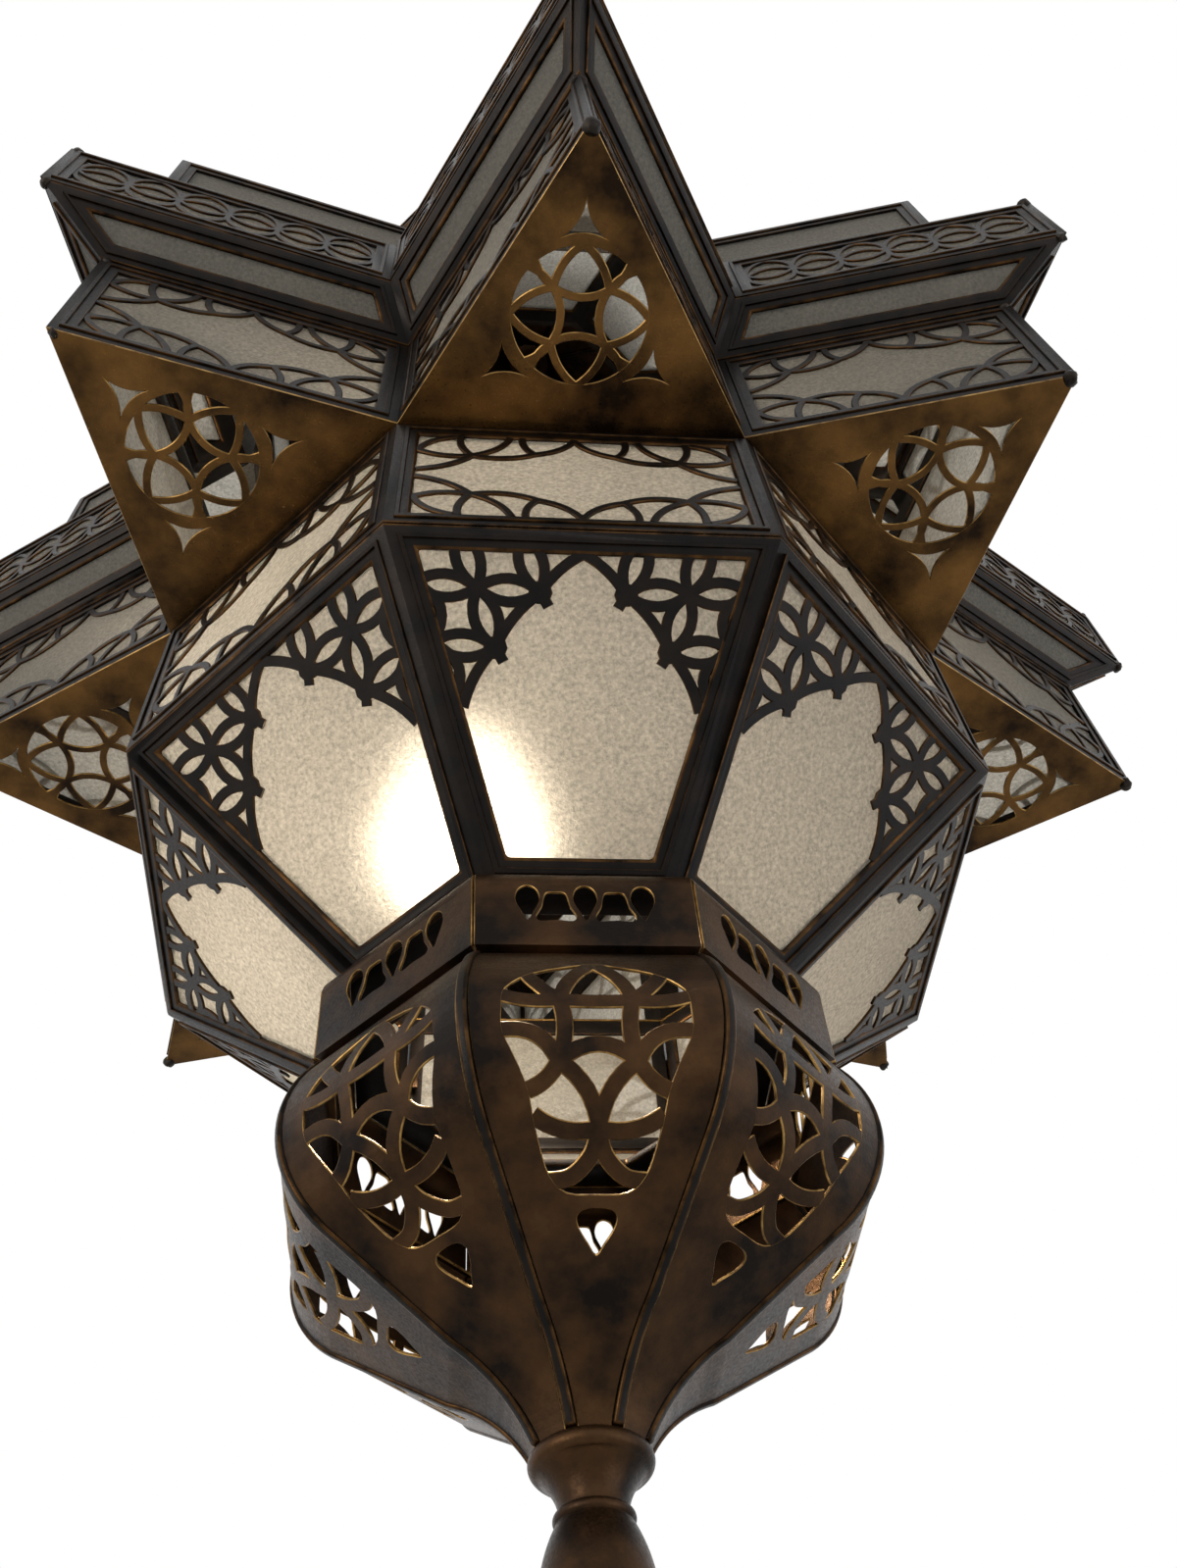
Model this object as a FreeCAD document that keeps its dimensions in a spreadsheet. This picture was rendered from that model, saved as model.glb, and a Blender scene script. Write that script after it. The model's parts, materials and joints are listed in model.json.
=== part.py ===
import FreeCAD, Part
import math
import os
import Sketcher

# An eight-sided star lantern of pierced brass and frosted glass, hung by a ring.
# Lengths are in millimetres. Inside this file height 0 is the widest ring of the glass body and
# face 0 looks along -Y. Every finished piece is then lowered, so that the origin is the hanging point.

Vector = FreeCAD.Vector
UP = Vector(0, 0, 1)
FACES = 8
HALF_FACE = 180.0 / FACES
FACE_COS = math.cos(math.radians(HALF_FACE))
FACE_TAN = math.tan(math.radians(HALF_FACE))
FRONT = -90.0
DOOR_FACE = 4

SIZES = [
    ("ring_radius", 170, "corner radius of the widest octagon of the body"),
    ("belt_height", 84, "height of the upright belt panels"),
    ("mouth_radius", 77, "corner radius where the sloping panes end"),
    ("cone_height", 77, "height of the sloping panes"),
    ("tip_radius", 264, "reach of a star point at its lower plate"),
    ("wall_height", 85, "from the belt to the top of the upright star walls"),
    ("flare_ratio", 1.135, "how far the flared glass strip spreads the star"),
    ("flare_rise", 21, "height of the flared glass strip"),
    ("edge_height", 52, "height of the star's outer edge strip"),
    ("came_width", 8.5, "width of the brass channel round each pane"),
    ("came_depth", 5, "depth of the brass channel round each pane"),
    ("pane_thickness", 2, "frosted glass"),
    ("sheet_thickness", 1, "pierced and bent brass sheet"),
    ("lace_thickness", 0.8, "openwork laid on the glass"),
    ("rosette_radius", 24.5, "pierced rosette of a star plate"),
    ("rosette_centre", 42, "from the belt's face to the rosette's centre"),
    ("hoop_thickness", 3, "flat hoops at both ends of the glass body"),
    ("hoop_inner_radius", 66, "inner corner radius of those hoops"),
    ("hoop_outer_radius", 79, "outer corner radius of those hoops"),
    ("gallery_radius", 87, "corner radius of the pierced gallery"),
    ("gallery_height", 36, "height of the pierced gallery"),
    ("bowl_height", 107, "height of the pierced onion bowl"),
    ("bowl_radius", 94, "corner radius of the bowl at its widest"),
    ("bowl_end_radius", 15, "corner radius of the bowl where the finial starts"),
    ("dome_ratio", 0.6, "height of the crown dome against the bowl"),
    ("seam_width", 3, "rolled seam between two gores"),
    ("tube_radius", 5, "threaded lamp tube"),
    ("tube_bore", 3.5, "way for the lamp wires"),
    ("tube_top", 640, "top of the lamp tube"),
    ("holder_foot", 87, "mouth of the lamp holder"),
    ("holder_radius", 20, "lamp holder for a 27 mm screw cap"),
    ("holder_skirt", 38, "height of the lamp holder's straight skirt"),
    ("lamp_offset", -38, "how far the lamp hangs beside the axis"),
    ("arm_end", 12, "how far the lamp arm runs past the holder and past the tube"),
    ("cap_radius", 13, "screw cap of the bulb"),
    ("cap_length", 27, "screw cap of the bulb"),
    ("bulb_radius", 30, "globe of the bulb"),
    ("bulb_centre", 32, "height of the globe's centre"),
    ("bar_length", 140, "cross bar that carries the lamp tube"),
    ("bar_width", 20, "cross bar that carries the lamp tube"),
    ("bar_thickness", 3, "cross bar that carries the lamp tube"),
    ("nut_radius", 8, "corner radius of the lock nuts"),
    ("nut_height", 5, "lock nuts on the lamp tube"),
    ("stud_radius", 4, "stud of the finial"),
    ("stud_length", 17, "stud of the finial above its shoulder"),
    ("finial_length", 74, "finial below its shoulder"),
    ("eye_radius", 13, "centre line of the fixed eye"),
    ("eye_wire", 3.5, "wire radius of the fixed eye"),
    ("eye_centre", 661, "height of the fixed eye's centre"),
    ("hang_radius", 24, "centre line of the hanging ring"),
    ("hang_wire", 3, "wire radius of the hanging ring"),
    ("hang_play", 0.3, "play between the eye and the hanging ring"),
    ("door_gap", 0.8, "play round the door"),
    ("hinge_radius", 2.2, "hinge knuckles"),
    ("hinge_pin_radius", 1, "hinge pin"),
    ("running_play", 0.05, "radial play of the hinge pin and the catch's shank"),
    ("knuckle_length", 14, "each of the three hinge knuckles"),
    ("catch_radius", 5.5, "head of the door's turn catch"),
    ("catch_shank", 1.6, "shank radius of the door's turn catch"),
    ("catch_inset", 4.8, "from the door's free edge to the turn catch"),
    ("catch_hold", 4, "how far the turned catch reaches behind the next frame"),
    ("catch_clearance", 0.3, "room between the turn catch and what it passes"),
]


class Size:
    """A length that carries both its value and the sheet expression that it comes from."""

    def __init__(self, value, text):
        self.value = float(value)
        self.text = text

    @staticmethod
    def of(other):
        return other if isinstance(other, Size) else Size(other, f"{other}")

    def __add__(self, other):
        other = Size.of(other)
        return Size(self.value + other.value, f"({self.text} + {other.text})")

    def __sub__(self, other):
        other = Size.of(other)
        return Size(self.value - other.value, f"({self.text} - {other.text})")

    def __mul__(self, other):
        other = Size.of(other)
        return Size(self.value * other.value, f"({self.text} * {other.text})")

    def __neg__(self):
        return Size(-self.value, f"(0 - {self.text})")


doc = FreeCAD.newDocument("star_lantern")
sheet = doc.addObject("Spreadsheet::Sheet", "sizes")
sheet.Label = "sizes"
size = {}
for row, (alias, value, meaning) in enumerate(SIZES, start=1):
    sheet.set(f"A{row}", alias)
    sheet.set(f"B{row}", str(value))
    sheet.set(f"C{row}", meaning)
    sheet.setAlias(f"B{row}", alias)
    size[alias] = Size(value, f"sizes.{alias}")
doc.recompute()

# Heights of the tiers, from the widest ring up and down.
WALL_FOOT = size["belt_height"] + size["sheet_thickness"]
WALL_TOP = size["belt_height"] + size["wall_height"]
FLARE_TOP = WALL_TOP + size["flare_rise"]
MIDDLE = FLARE_TOP + size["edge_height"] * 0.5
MOUTH = -size["cone_height"]
GALLERY_TOP = MOUTH - size["hoop_thickness"]
GALLERY_FOOT = GALLERY_TOP - size["gallery_height"]
BOWL_FOOT = GALLERY_FOOT - size["bowl_height"]
CROWN = MIDDLE * 2 - MOUTH
BAR_FOOT = CROWN + size["hoop_thickness"]
BAR_TOP = BAR_FOOT + size["bar_thickness"]
DOME_FOOT = MIDDLE * 2 - GALLERY_FOOT
DOME_TOP = DOME_FOOT + size["bowl_height"] * size["dome_ratio"]
CAP_TOP = size["holder_foot"] + size["cap_length"] + 1
HANG_FOOT = size["eye_centre"] + size["eye_radius"] - size["eye_wire"] - size["hang_play"] - size["hang_wire"]
HANG_CENTRE = HANG_FOOT + size["hang_radius"]
ORIGIN_HEIGHT = HANG_CENTRE + size["hang_radius"] - size["hang_wire"]

nodes = []


def keep(feature, label, beside=None):
    """Name a finished sub-part and lower it to the part's own frame, or set it beside the axis too."""
    feature.Label = label
    across = beside.value if beside else 0.0
    feature.Placement = FreeCAD.Placement(Vector(across, 0, -ORIGIN_HEIGHT.value), FreeCAD.Rotation())
    feature.setExpression("Placement.Base.z", (-ORIGIN_HEIGHT).text)
    if beside:
        feature.setExpression("Placement.Base.x", beside.text)
    nodes.append(feature)


def keep_solids(label, solids):
    """A sub-part made of one or of several plain solids."""
    feature = doc.addObject("Part::Feature", label)
    feature.Shape = solids[0] if len(solids) == 1 else Part.makeCompound(solids)
    keep(feature, label)


def primitive(kind, name, foot=None, **values):
    """A Part primitive whose sizes and foot height are bound to the sheet."""
    feature = doc.addObject(f"Part::{kind}", name)
    for property_name, value in values.items():
        setattr(feature, property_name, value.value)
        feature.setExpression(property_name, value.text)
    if foot is not None:
        feature.Placement.Base.z = foot.value
        feature.setExpression("Placement.Base.z", foot.text)
    return feature


def cut(name, base, tool):
    feature = doc.addObject("Part::Cut", name)
    feature.Base = base
    feature.Tool = tool
    return feature


def fused(name, parts):
    feature = doc.addObject("Part::MultiFuse", name)
    feature.Shapes = parts
    return feature


def turned(name, profile):
    """A turned piece from (radius, height) points; four values give an arc's end and its middle."""
    body = doc.addObject("PartDesign::Body", name)
    sketch = body.newObject("Sketcher::SketchObject", f"{name}_profile")
    plane = [item for item in body.Origin.OriginFeatures if item.Role == "XZ_Plane"][0]
    sketch.AttachmentSupport = [(plane, "")]
    sketch.MapMode = "FlatFace"
    ends = [(Size.of(point[0]), Size.of(point[1])) for point in profile]
    flat = [Vector(radius.value, height.value, 0) for radius, height in ends]
    closing = []
    for index, point in enumerate(profile):
        start, end = flat[index - 1], flat[index]
        if len(point) == 4:
            middle = Vector(Size.of(point[2]).value, Size.of(point[3]).value, 0)
            circle = Part.Circle(start, middle, end)
            forward = (middle - start).cross(end - middle).z > 0
            first, last = (start, end) if forward else (end, start)
            angles = [math.atan2(spot.y - circle.Center.y, spot.x - circle.Center.x) for spot in (first, last)]
            upright = Part.Circle(circle.Center, UP, circle.Radius)
            if angles[1] < angles[0]:
                angles[1] += 2 * math.pi
            sketch.addGeometry(Part.ArcOfCircle(upright, *angles), False)
            sketch.addConstraint(Sketcher.Constraint("Radius", index, circle.Radius))
            closing.append((1, 2) if forward else (2, 1))
        else:
            sketch.addGeometry(Part.LineSegment(start, end), False)
            closing.append((1, 2))
    count = len(profile)
    for index, (radius, height) in enumerate(ends):
        following = (index + 1) % count
        end_tag, start_tag = closing[index][1], closing[following][0]
        sketch.addConstraint(Sketcher.Constraint("Coincident", index, end_tag, following, start_tag))
        for kind, value in (("DistanceX", radius), ("DistanceY", height)):
            number = sketch.addConstraint(Sketcher.Constraint(kind, -1, 1, index, end_tag, value.value))
            sketch.setExpression(f"Constraints[{number}]", value.text)
    revolution = body.newObject("PartDesign::Revolution", f"{name}_turning")
    revolution.Profile = sketch
    revolution.ReferenceAxis = (sketch, ["V_Axis"])
    revolution.Angle = 360
    return body


# Panels. A tier of panels is a set of walls that all lie at one distance from the axis. A wall's ends
# are given as (azimuth, corner radius for a wall distance of 1), so one rule serves octagon and star.

def octagon_walls(faces=range(FACES)):
    """Both ends of each octagon wall."""
    walls = []
    for face in faces:
        azimuth = FRONT + 2 * HALF_FACE * face
        walls.append(((azimuth - HALF_FACE, 1 / FACE_COS), (azimuth + HALF_FACE, 1 / FACE_COS)))
    return walls


def star_distance():
    """Distance of a star wall from the axis at the lower plate."""
    valley = Vector(size["ring_radius"].value * FACE_COS, size["ring_radius"].value * math.sin(math.radians(HALF_FACE)), 0)
    tip = Vector(size["tip_radius"].value, 0, 0)
    return tip.cross(valley).Length / (valley - tip).Length


def star_walls():
    """Both ends of each star wall, two walls for every point of the star."""
    tip = size["tip_radius"].value / star_distance()
    valley = size["ring_radius"].value / star_distance()
    walls = []
    for face in range(FACES):
        azimuth = FRONT + 2 * HALF_FACE * face
        walls.append(((azimuth - HALF_FACE, valley), (azimuth, tip)))
        walls.append(((azimuth, tip), (azimuth + HALF_FACE, valley)))
    return walls


def at(azimuth, radius, height):
    angle = math.radians(azimuth)
    return Vector(radius * math.cos(angle), radius * math.sin(angle), height)


def inner_profile(profile, depth):
    """The (distance, height) line set inwards by a depth, with its ends cut level."""
    shifted = []
    for (near, low), (far, high) in zip(profile, profile[1:]):
        length = math.hypot(far - near, high - low)
        across, upward = -(high - low) / length * depth, (far - near) / length * depth
        shifted.append(((near + across, low + upward), (far + across, high + upward)))
    points = []
    for index in range(len(profile)):
        if index == 0 or index == len(profile) - 1:
            (near, low), (far, high) = shifted[0] if index == 0 else shifted[-1]
            share = (profile[index][1] - low) / (high - low)
            points.append((near + (far - near) * share, profile[index][1]))
            continue
        (ax, az), (bx, bz) = shifted[index - 1]
        (cx, cz), (dx, dz) = shifted[index]
        crossing = (bx - ax) * (dz - cz) - (bz - az) * (dx - cx)
        share = ((cx - ax) * (dz - cz) - (cz - az) * (dx - cx)) / crossing
        points.append((ax + (bx - ax) * share, az + (bz - az) * share))
    return points


def corners(wall, low, high):
    """A panel's corners, from the foot's first end anticlockwise as seen from outside."""
    (first, first_ratio), (last, last_ratio) = wall
    return [
        at(first, low[0] * first_ratio, low[1]),
        at(last, low[0] * last_ratio, low[1]),
        at(last, high[0] * last_ratio, high[1]),
        at(first, high[0] * first_ratio, high[1]),
    ]


def slab(outer, inner):
    """The solid between two polygons with matching corners."""
    faces = [Part.Face(Part.makePolygon(loop + loop[:1])) for loop in (outer, inner)]
    for index in range(len(outer)):
        loop = [outer[index - 1], outer[index], inner[index], inner[index - 1]]
        faces.append(Part.Face(Part.makePolygon(loop + loop[:1])))
    solid = Part.Solid(Part.Shell(faces))
    if solid.Volume < 0:
        solid.reverse()
    return solid


class Panel:
    """A flat panel's own frame: across its foot, up its face and out of it."""

    def __init__(self, outer, came):
        self.outer = outer
        self.origin = (outer[0] + outer[1]) * 0.5
        self.across = (outer[1] - outer[0]).normalize()
        self.out = self.across.cross(outer[-1] - outer[0]).normalize()
        self.up = self.out.cross(self.across)
        self.window = self.inset(came)

    def flat(self, point):
        away = point - self.origin
        return away.dot(self.across), away.dot(self.up)

    def place(self, across, up, depth=0.0):
        return self.origin + self.across * across + self.up * up - self.out * depth

    def inset(self, width):
        """The panel's outline drawn in by a width, in the panel's own coordinates."""
        flat = [self.flat(point) for point in self.outer]
        lines = []
        for (ax, ay), (bx, by) in zip(flat, flat[1:] + flat[:1]):
            length = math.hypot(bx - ax, by - ay)
            along = ((bx - ax) / length, (by - ay) / length)
            lines.append(((ax - along[1] * width, ay + along[0] * width), along))
        points = []
        for index in range(len(lines)):
            (px, py), (ux, uy) = lines[index - 1]
            (qx, qy), (vx, vy) = lines[index]
            share = ((qx - px) * vy - (qy - py) * vx) / (ux * vy - uy * vx)
            points.append((px + ux * share, py + uy * share))
        return points

    def prism(self, outline, start, end):
        """An outline of the panel's plane made solid between two depths."""
        loop = [self.place(across, up, start) for across, up in outline]
        return Part.Face(Part.makePolygon(loop + loop[:1])).extrude(self.out * (start - end))

    def pierced(self, outline, holes, start, end):
        """The same with holes."""
        loops = [outline] + holes
        wires = []
        for loop in loops:
            points = [self.place(across, up, start) for across, up in loop]
            wires.append(Part.makePolygon(points + points[:1]))
        return Part.Face(wires, "Part::FaceMakerBullseye").extrude(self.out * (start - end))


CAME_WIDTH = size["came_width"].value
CAME_DEPTH = size["came_depth"].value
PANE_FACE = (CAME_DEPTH - size["pane_thickness"].value) / 2
LACE_FACE = PANE_FACE - size["lace_thickness"].value


def framed(wall, profile, tier):
    """A panel of one tier with its mitred brass frame and the pane that fills it."""
    inner = inner_profile(profile, CAME_DEPTH)
    outer_corners = corners(wall, profile[tier], profile[tier + 1])
    inner_corners = corners(wall, inner[tier], inner[tier + 1])
    panel = Panel(outer_corners, CAME_WIDTH)
    opening = panel.prism(panel.window, -1, CAME_DEPTH * 2)
    frame = slab(outer_corners, inner_corners).cut(opening).Solids[0]
    pane = panel.prism(panel.window, PANE_FACE, PANE_FACE + size["pane_thickness"].value)
    return panel, frame, pane


# Openwork laid on the glass. Outlines are shares of the window's edges.

CORNER_LACE = [(0, 0), (1, 0), (0.80, 0.14), (0.70, 0.36), (0.48, 0.44), (0.36, 0.68), (0.12, 0.78), (0, 1)]
CORNER_HOLES = [(0.16, 0.15), (0.46, 0.13), (0.16, 0.45)]
CORNER_HOLE = 0.075
CORNER_REACH = (0.5, 0.56)
BRACKET = [(0, 0), (1, 0), (1, 0.46), (0.84, 0.38), (0.70, 0.22), (0.5, 0.08), (0.30, 0.22), (0.16, 0.38), (0, 0.46)]


def corner_lace(panel, low, high, beside):
    """A three-cornered piece of lace in a sloping pane's wide corner."""
    along = ((beside[0] - high[0]) * CORNER_REACH[0], (beside[1] - high[1]) * CORNER_REACH[0])
    down = ((low[0] - high[0]) * CORNER_REACH[1], (low[1] - high[1]) * CORNER_REACH[1])

    def spot(share):
        return (high[0] + along[0] * share[0] + down[0] * share[1], high[1] + along[1] * share[0] + down[1] * share[1])

    outline = [spot(share) for share in CORNER_LACE]
    holes = []
    for across, up in CORNER_HOLES:
        ring = [(across - CORNER_HOLE, up), (across, up - CORNER_HOLE), (across + CORNER_HOLE, up), (across, up + CORNER_HOLE)]
        holes.append([spot(share) for share in ring])
    return panel.pierced(outline, holes, LACE_FACE, PANE_FACE)


def cone_lace(panel, wide_on_top):
    """Both corner pieces of a sloping pane, on its wide side."""
    left_low, right_low, right_high, left_high = panel.window
    if wide_on_top:
        pairs = ((left_low, left_high, right_high), (right_low, right_high, left_high))
    else:
        pairs = ((left_high, left_low, right_low), (right_high, right_low, left_low))
    return [corner_lace(panel, *pair) for pair in pairs]


def bracket_lace(panel):
    """The lower and the upper bracket of lace that leave a pointed oval of bare glass."""
    left_low, right_low, right_high, left_high = panel.window
    pieces = []
    for start, end, rise in ((left_low, right_low, left_high), (left_high, right_high, left_low)):
        along = (end[0] - start[0], end[1] - start[1])
        upward = (rise[0] - start[0], rise[1] - start[1])
        outline = [
            (start[0] + along[0] * x + upward[0] * y, start[1] + along[1] * x + upward[1] * y)
            for x, y in BRACKET
        ]
        pieces.append(panel.prism(outline, LACE_FACE, PANE_FACE))
    return pieces


# The body: sloping panes and upright belt, below and above the star.

def body_profile(side):
    """(wall distance, height) of the body's half below (side 0) or above (side 1) the star."""
    line = [
        (size["mouth_radius"].value * FACE_COS, MOUTH.value),
        (size["ring_radius"].value * FACE_COS, 0.0),
        (size["ring_radius"].value * FACE_COS, size["belt_height"].value),
    ]
    if side == 0:
        return line
    return [(distance, 2 * MIDDLE.value - height) for distance, height in reversed(line)]


def build_body():
    for side, place in enumerate(("lower", "upper")):
        profile = body_profile(side)
        cone_tier, belt_tier = (0, 1) if side == 0 else (1, 0)
        cones = [framed(wall, profile, cone_tier) for wall in octagon_walls()]
        keep_solids(f"cone_frames_{place}", [frame for panel, frame, pane in cones])
        keep_solids(f"cone_panes_{place}", [pane for panel, frame, pane in cones])
        laces = [piece for panel, frame, pane in cones for piece in cone_lace(panel, side == 0)]
        faces = [face for face in range(FACES) if side or face != DOOR_FACE]
        belts = [framed(wall, profile, belt_tier) for wall in octagon_walls(faces)]
        keep_solids(f"belt_frames_{place}", [frame for panel, frame, pane in belts])
        keep_solids(f"belt_panes_{place}", [pane for panel, frame, pane in belts])
        if side == 0:
            keep_solids("cone_lace_lower", laces)
            keep_solids("belt_lace_lower", [piece for panel, frame, pane in belts for piece in bracket_lace(panel)])


def door_panel():
    """The belt panel of the door face, drawn in all round by its play."""
    wall = octagon_walls([DOOR_FACE])[0]
    profile = body_profile(0)
    inner = inner_profile(profile, CAME_DEPTH)
    whole = Panel(corners(wall, profile[1], profile[2]), 0)
    hollow = Panel(corners(wall, inner[1], inner[2]), 0)
    play = size["door_gap"].value
    outer = [whole.place(*point) for point in whole.inset(play)]
    back = [hollow.place(*point) for point in hollow.inset(play)]
    return outer, back


def build_door():
    outer, back = door_panel()
    panel = Panel(outer, CAME_WIDTH)
    opening = panel.prism(panel.window, -1, CAME_DEPTH * 2)
    frame = slab(outer, back).cut(opening)
    catch = catch_spot(panel)
    shank_hole = Part.makeCylinder(size["catch_shank"].value + size["running_play"].value, CAME_DEPTH * 3,
                                   catch + panel.out * CAME_DEPTH, -panel.out)
    keep_solids("door_frame", frame.cut(shank_hole).Solids)
    keep_solids("door_pane", [panel.prism(panel.window, PANE_FACE, PANE_FACE + size["pane_thickness"].value)])
    keep_solids("door_lace", bracket_lace(panel))
    build_catch(panel, catch)
    build_hinge(panel)


def catch_spot(panel):
    """Where the turn catch goes through the door frame: the middle of its free side."""
    edge = max(panel.flat(point)[0] for point in panel.outer)
    height = panel.flat(panel.outer[2])[1]
    return panel.place(edge - size["catch_inset"].value, height / 2)


def build_catch(panel, spot):
    """A round head outside, a shank through the frame and an arm that turns behind the next frame."""
    head_radius = size["catch_radius"].value
    shank_radius = size["catch_shank"].value
    hold = size["catch_hold"].value
    clear = size["catch_clearance"].value
    flange = Part.makeCylinder(head_radius * 0.6, head_radius * 0.4, spot + panel.out * clear, panel.out)
    knob = Part.makeSphere(head_radius, spot + panel.out * head_radius * 1.2)
    across, up = panel.flat(spot)
    free_edge = max(panel.flat(point)[0] for point in panel.outer)
    corner = free_edge + size["door_gap"].value - CAME_DEPTH * FACE_TAN
    arm_depth = CAME_DEPTH + hold * math.tan(math.radians(2 * HALF_FACE)) + 2 * clear
    thickness = size["sheet_thickness"].value
    shank = Part.makeCylinder(shank_radius, arm_depth + clear, spot + panel.out * clear, -panel.out)
    keep_solids("catch_knob", [knob.fuse([flange, shank]).removeSplitter().Solids[0]])
    half = shank_radius + clear
    reach = corner + hold - across
    outline = [
        (across - half, up + half),
        (across - half, up - reach),
        (across + half, up - reach),
        (across + half, up + half),
    ]
    keep_solids("catch_arm", [panel.prism(outline, arm_depth, arm_depth + thickness)])


def build_hinge(panel):
    """Three knuckles on one pin, outside the corner at the door's other side."""
    radius = size["hinge_radius"].value
    length = size["knuckle_length"].value
    play = size["running_play"].value
    edge = min(panel.flat(point)[0] for point in panel.outer)
    height = panel.flat(panel.outer[2])[1]
    foot = (height - 3 * length) / 2
    wall = octagon_walls([DOOR_FACE])[0]
    azimuth = wall[0][0]
    axis_radius = size["ring_radius"].value + radius + size["door_gap"].value / 2
    axis = at(azimuth, axis_radius, 0)
    beside = Panel(corners(octagon_walls([DOOR_FACE - 1])[0], body_profile(0)[1], body_profile(0)[2]), 0)

    def knuckle(bottom, owner, inner_side):
        base = Vector(axis.x, axis.y, bottom)
        barrel = Part.makeCylinder(radius, length, base, UP)
        bore = Part.makeCylinder(size["hinge_pin_radius"].value + play, length, base, UP)
        near, far = owner.flat(axis)[0], inner_side
        low = owner.flat(base)[1]
        outline = [(near, low), (far, low), (far, low + length), (near, low + length)]
        if far < near:
            outline.reverse()
        leaf = owner.prism(outline, -size["sheet_thickness"].value, 0)
        return barrel.fuse(leaf).cut(bore).Solids[0]

    start = panel.place(edge, foot).z
    beside_edge = beside.flat(beside.outer[1])[0]
    fixed = [knuckle(start + step, beside, beside_edge - CAME_WIDTH) for step in (0, 2 * length)]
    keep_solids("hinge_knuckles", fixed)
    clear = size["door_gap"].value / 4
    moving = knuckle(start + length, panel, edge + CAME_WIDTH)
    trim = Part.makeBox(CAME_WIDTH * 8, CAME_WIDTH * 8, length - 2 * clear)
    trim.translate(Vector(axis.x - CAME_WIDTH * 4, axis.y - CAME_WIDTH * 4, start + length + clear))
    keep_solids("door_knuckle", [moving.common(trim).Solids[0]])
    pin = Part.makeCylinder(size["hinge_pin_radius"].value, 3 * length, Vector(axis.x, axis.y, start), UP)
    heads = [
        Part.makeCylinder(radius * 0.8, 1, Vector(axis.x, axis.y, start - 1), UP),
        Part.makeCylinder(radius * 0.8, 1, Vector(axis.x, axis.y, start + 3 * length), UP),
    ]
    keep_solids("hinge_pin", [pin.fuse(heads).removeSplitter().Solids[0]])


# The star: pierced plates below, glass above, upright walls, flared strips and the outer edge.

def star_profile():
    """(wall distance, height) of the star from its lower plates to its upper ones."""
    narrow = star_distance()
    wide = narrow * size["flare_ratio"].value
    lower = [(narrow, WALL_FOOT.value), (narrow, WALL_TOP.value), (wide, FLARE_TOP.value)]
    upper = [(distance, 2 * MIDDLE.value - height) for distance, height in reversed(lower)]
    return lower + upper


def plate_panel(face, height):
    """A level star plate seen from below, with its foot on the belt."""
    azimuth = FRONT + 2 * HALF_FACE * face
    base = size["ring_radius"].value
    lap = CAME_DEPTH / FACE_COS
    outer = [
        at(azimuth - HALF_FACE, base - lap, height),
        at(azimuth + HALF_FACE, base - lap, height),
        at(azimuth + HALF_FACE, base, height),
        at(azimuth, size["tip_radius"].value, height),
        at(azimuth - HALF_FACE, base, height),
    ]
    return outer


def ring_of(centre, radii, turn=0.0):
    """A closed outline round a centre, one point for each radius."""
    points = []
    for index, radius in enumerate(radii):
        angle = math.radians(turn + 360.0 * index / len(radii))
        points.append((centre[0] + radius * math.cos(angle), centre[1] + radius * math.sin(angle)))
    return points


# Holes of the rosette for its first quarter, (outwards, sideways) as shares of its radius.
ROSETTE_FAN = [(0.37, -0.24), (0.31, 0.0), (0.37, 0.24), (0.92, 0.07), (0.92, -0.07)]
ROSETTE_LEAF = [(0.56, 0.38), (0.95, 0.16), (0.93, 0.36), (0.79, 0.60)]
ROSETTE_CENTRE = (0.44, 0.21)


def rosette_holes(centre, radius):
    """Four-fold interlace: a cusped square, four fans and four pairs of leaves round it."""
    holes = [ring_of(centre, [radius * share for share in ROSETTE_CENTRE] * 4, 45)]
    for quarter in range(4):
        turn = math.radians(90 * quarter)
        for shape, side in ((ROSETTE_FAN, 1), (ROSETTE_LEAF, 1), (ROSETTE_LEAF, -1)):
            hole = []
            for out, across in shape:
                x, y = out * radius, side * across * radius
                hole.append((centre[0] + x * math.cos(turn) - y * math.sin(turn),
                             centre[1] + x * math.sin(turn) + y * math.cos(turn)))
            holes.append(hole)
    return holes


def build_star_plates():
    thickness = size["sheet_thickness"].value
    foot = WALL_FOOT.value - thickness
    centre = size["ring_radius"].value * FACE_COS + size["rosette_centre"].value
    radius = size["rosette_radius"].value
    plates = []
    for face in range(FACES):
        outline = plate_panel(face, foot)
        azimuth = FRONT + 2 * HALF_FACE * face
        out = at(azimuth, 1, 0)
        side = at(azimuth + 90, 1, 0)
        holes = rosette_holes((centre, 0.0), radius)
        for angle in (0, 123, -123):
            spot = (centre + radius * 1.31 * math.cos(math.radians(angle)),
                    radius * 1.31 * math.sin(math.radians(angle)))
            holes.append(ring_of(spot, [radius * 0.34, radius * 0.11] * 3, 0))
        wires = [Part.makePolygon(outline + outline[:1])]
        for hole in holes:
            loop = [out * along + side * across + UP * foot for along, across in hole]
            wires.append(Part.makePolygon(loop + loop[:1]))
        plates.append(Part.Face(wires, "Part::FaceMakerBullseye").extrude(UP * thickness))
    keep_solids("star_plates_lower", plates)


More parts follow.
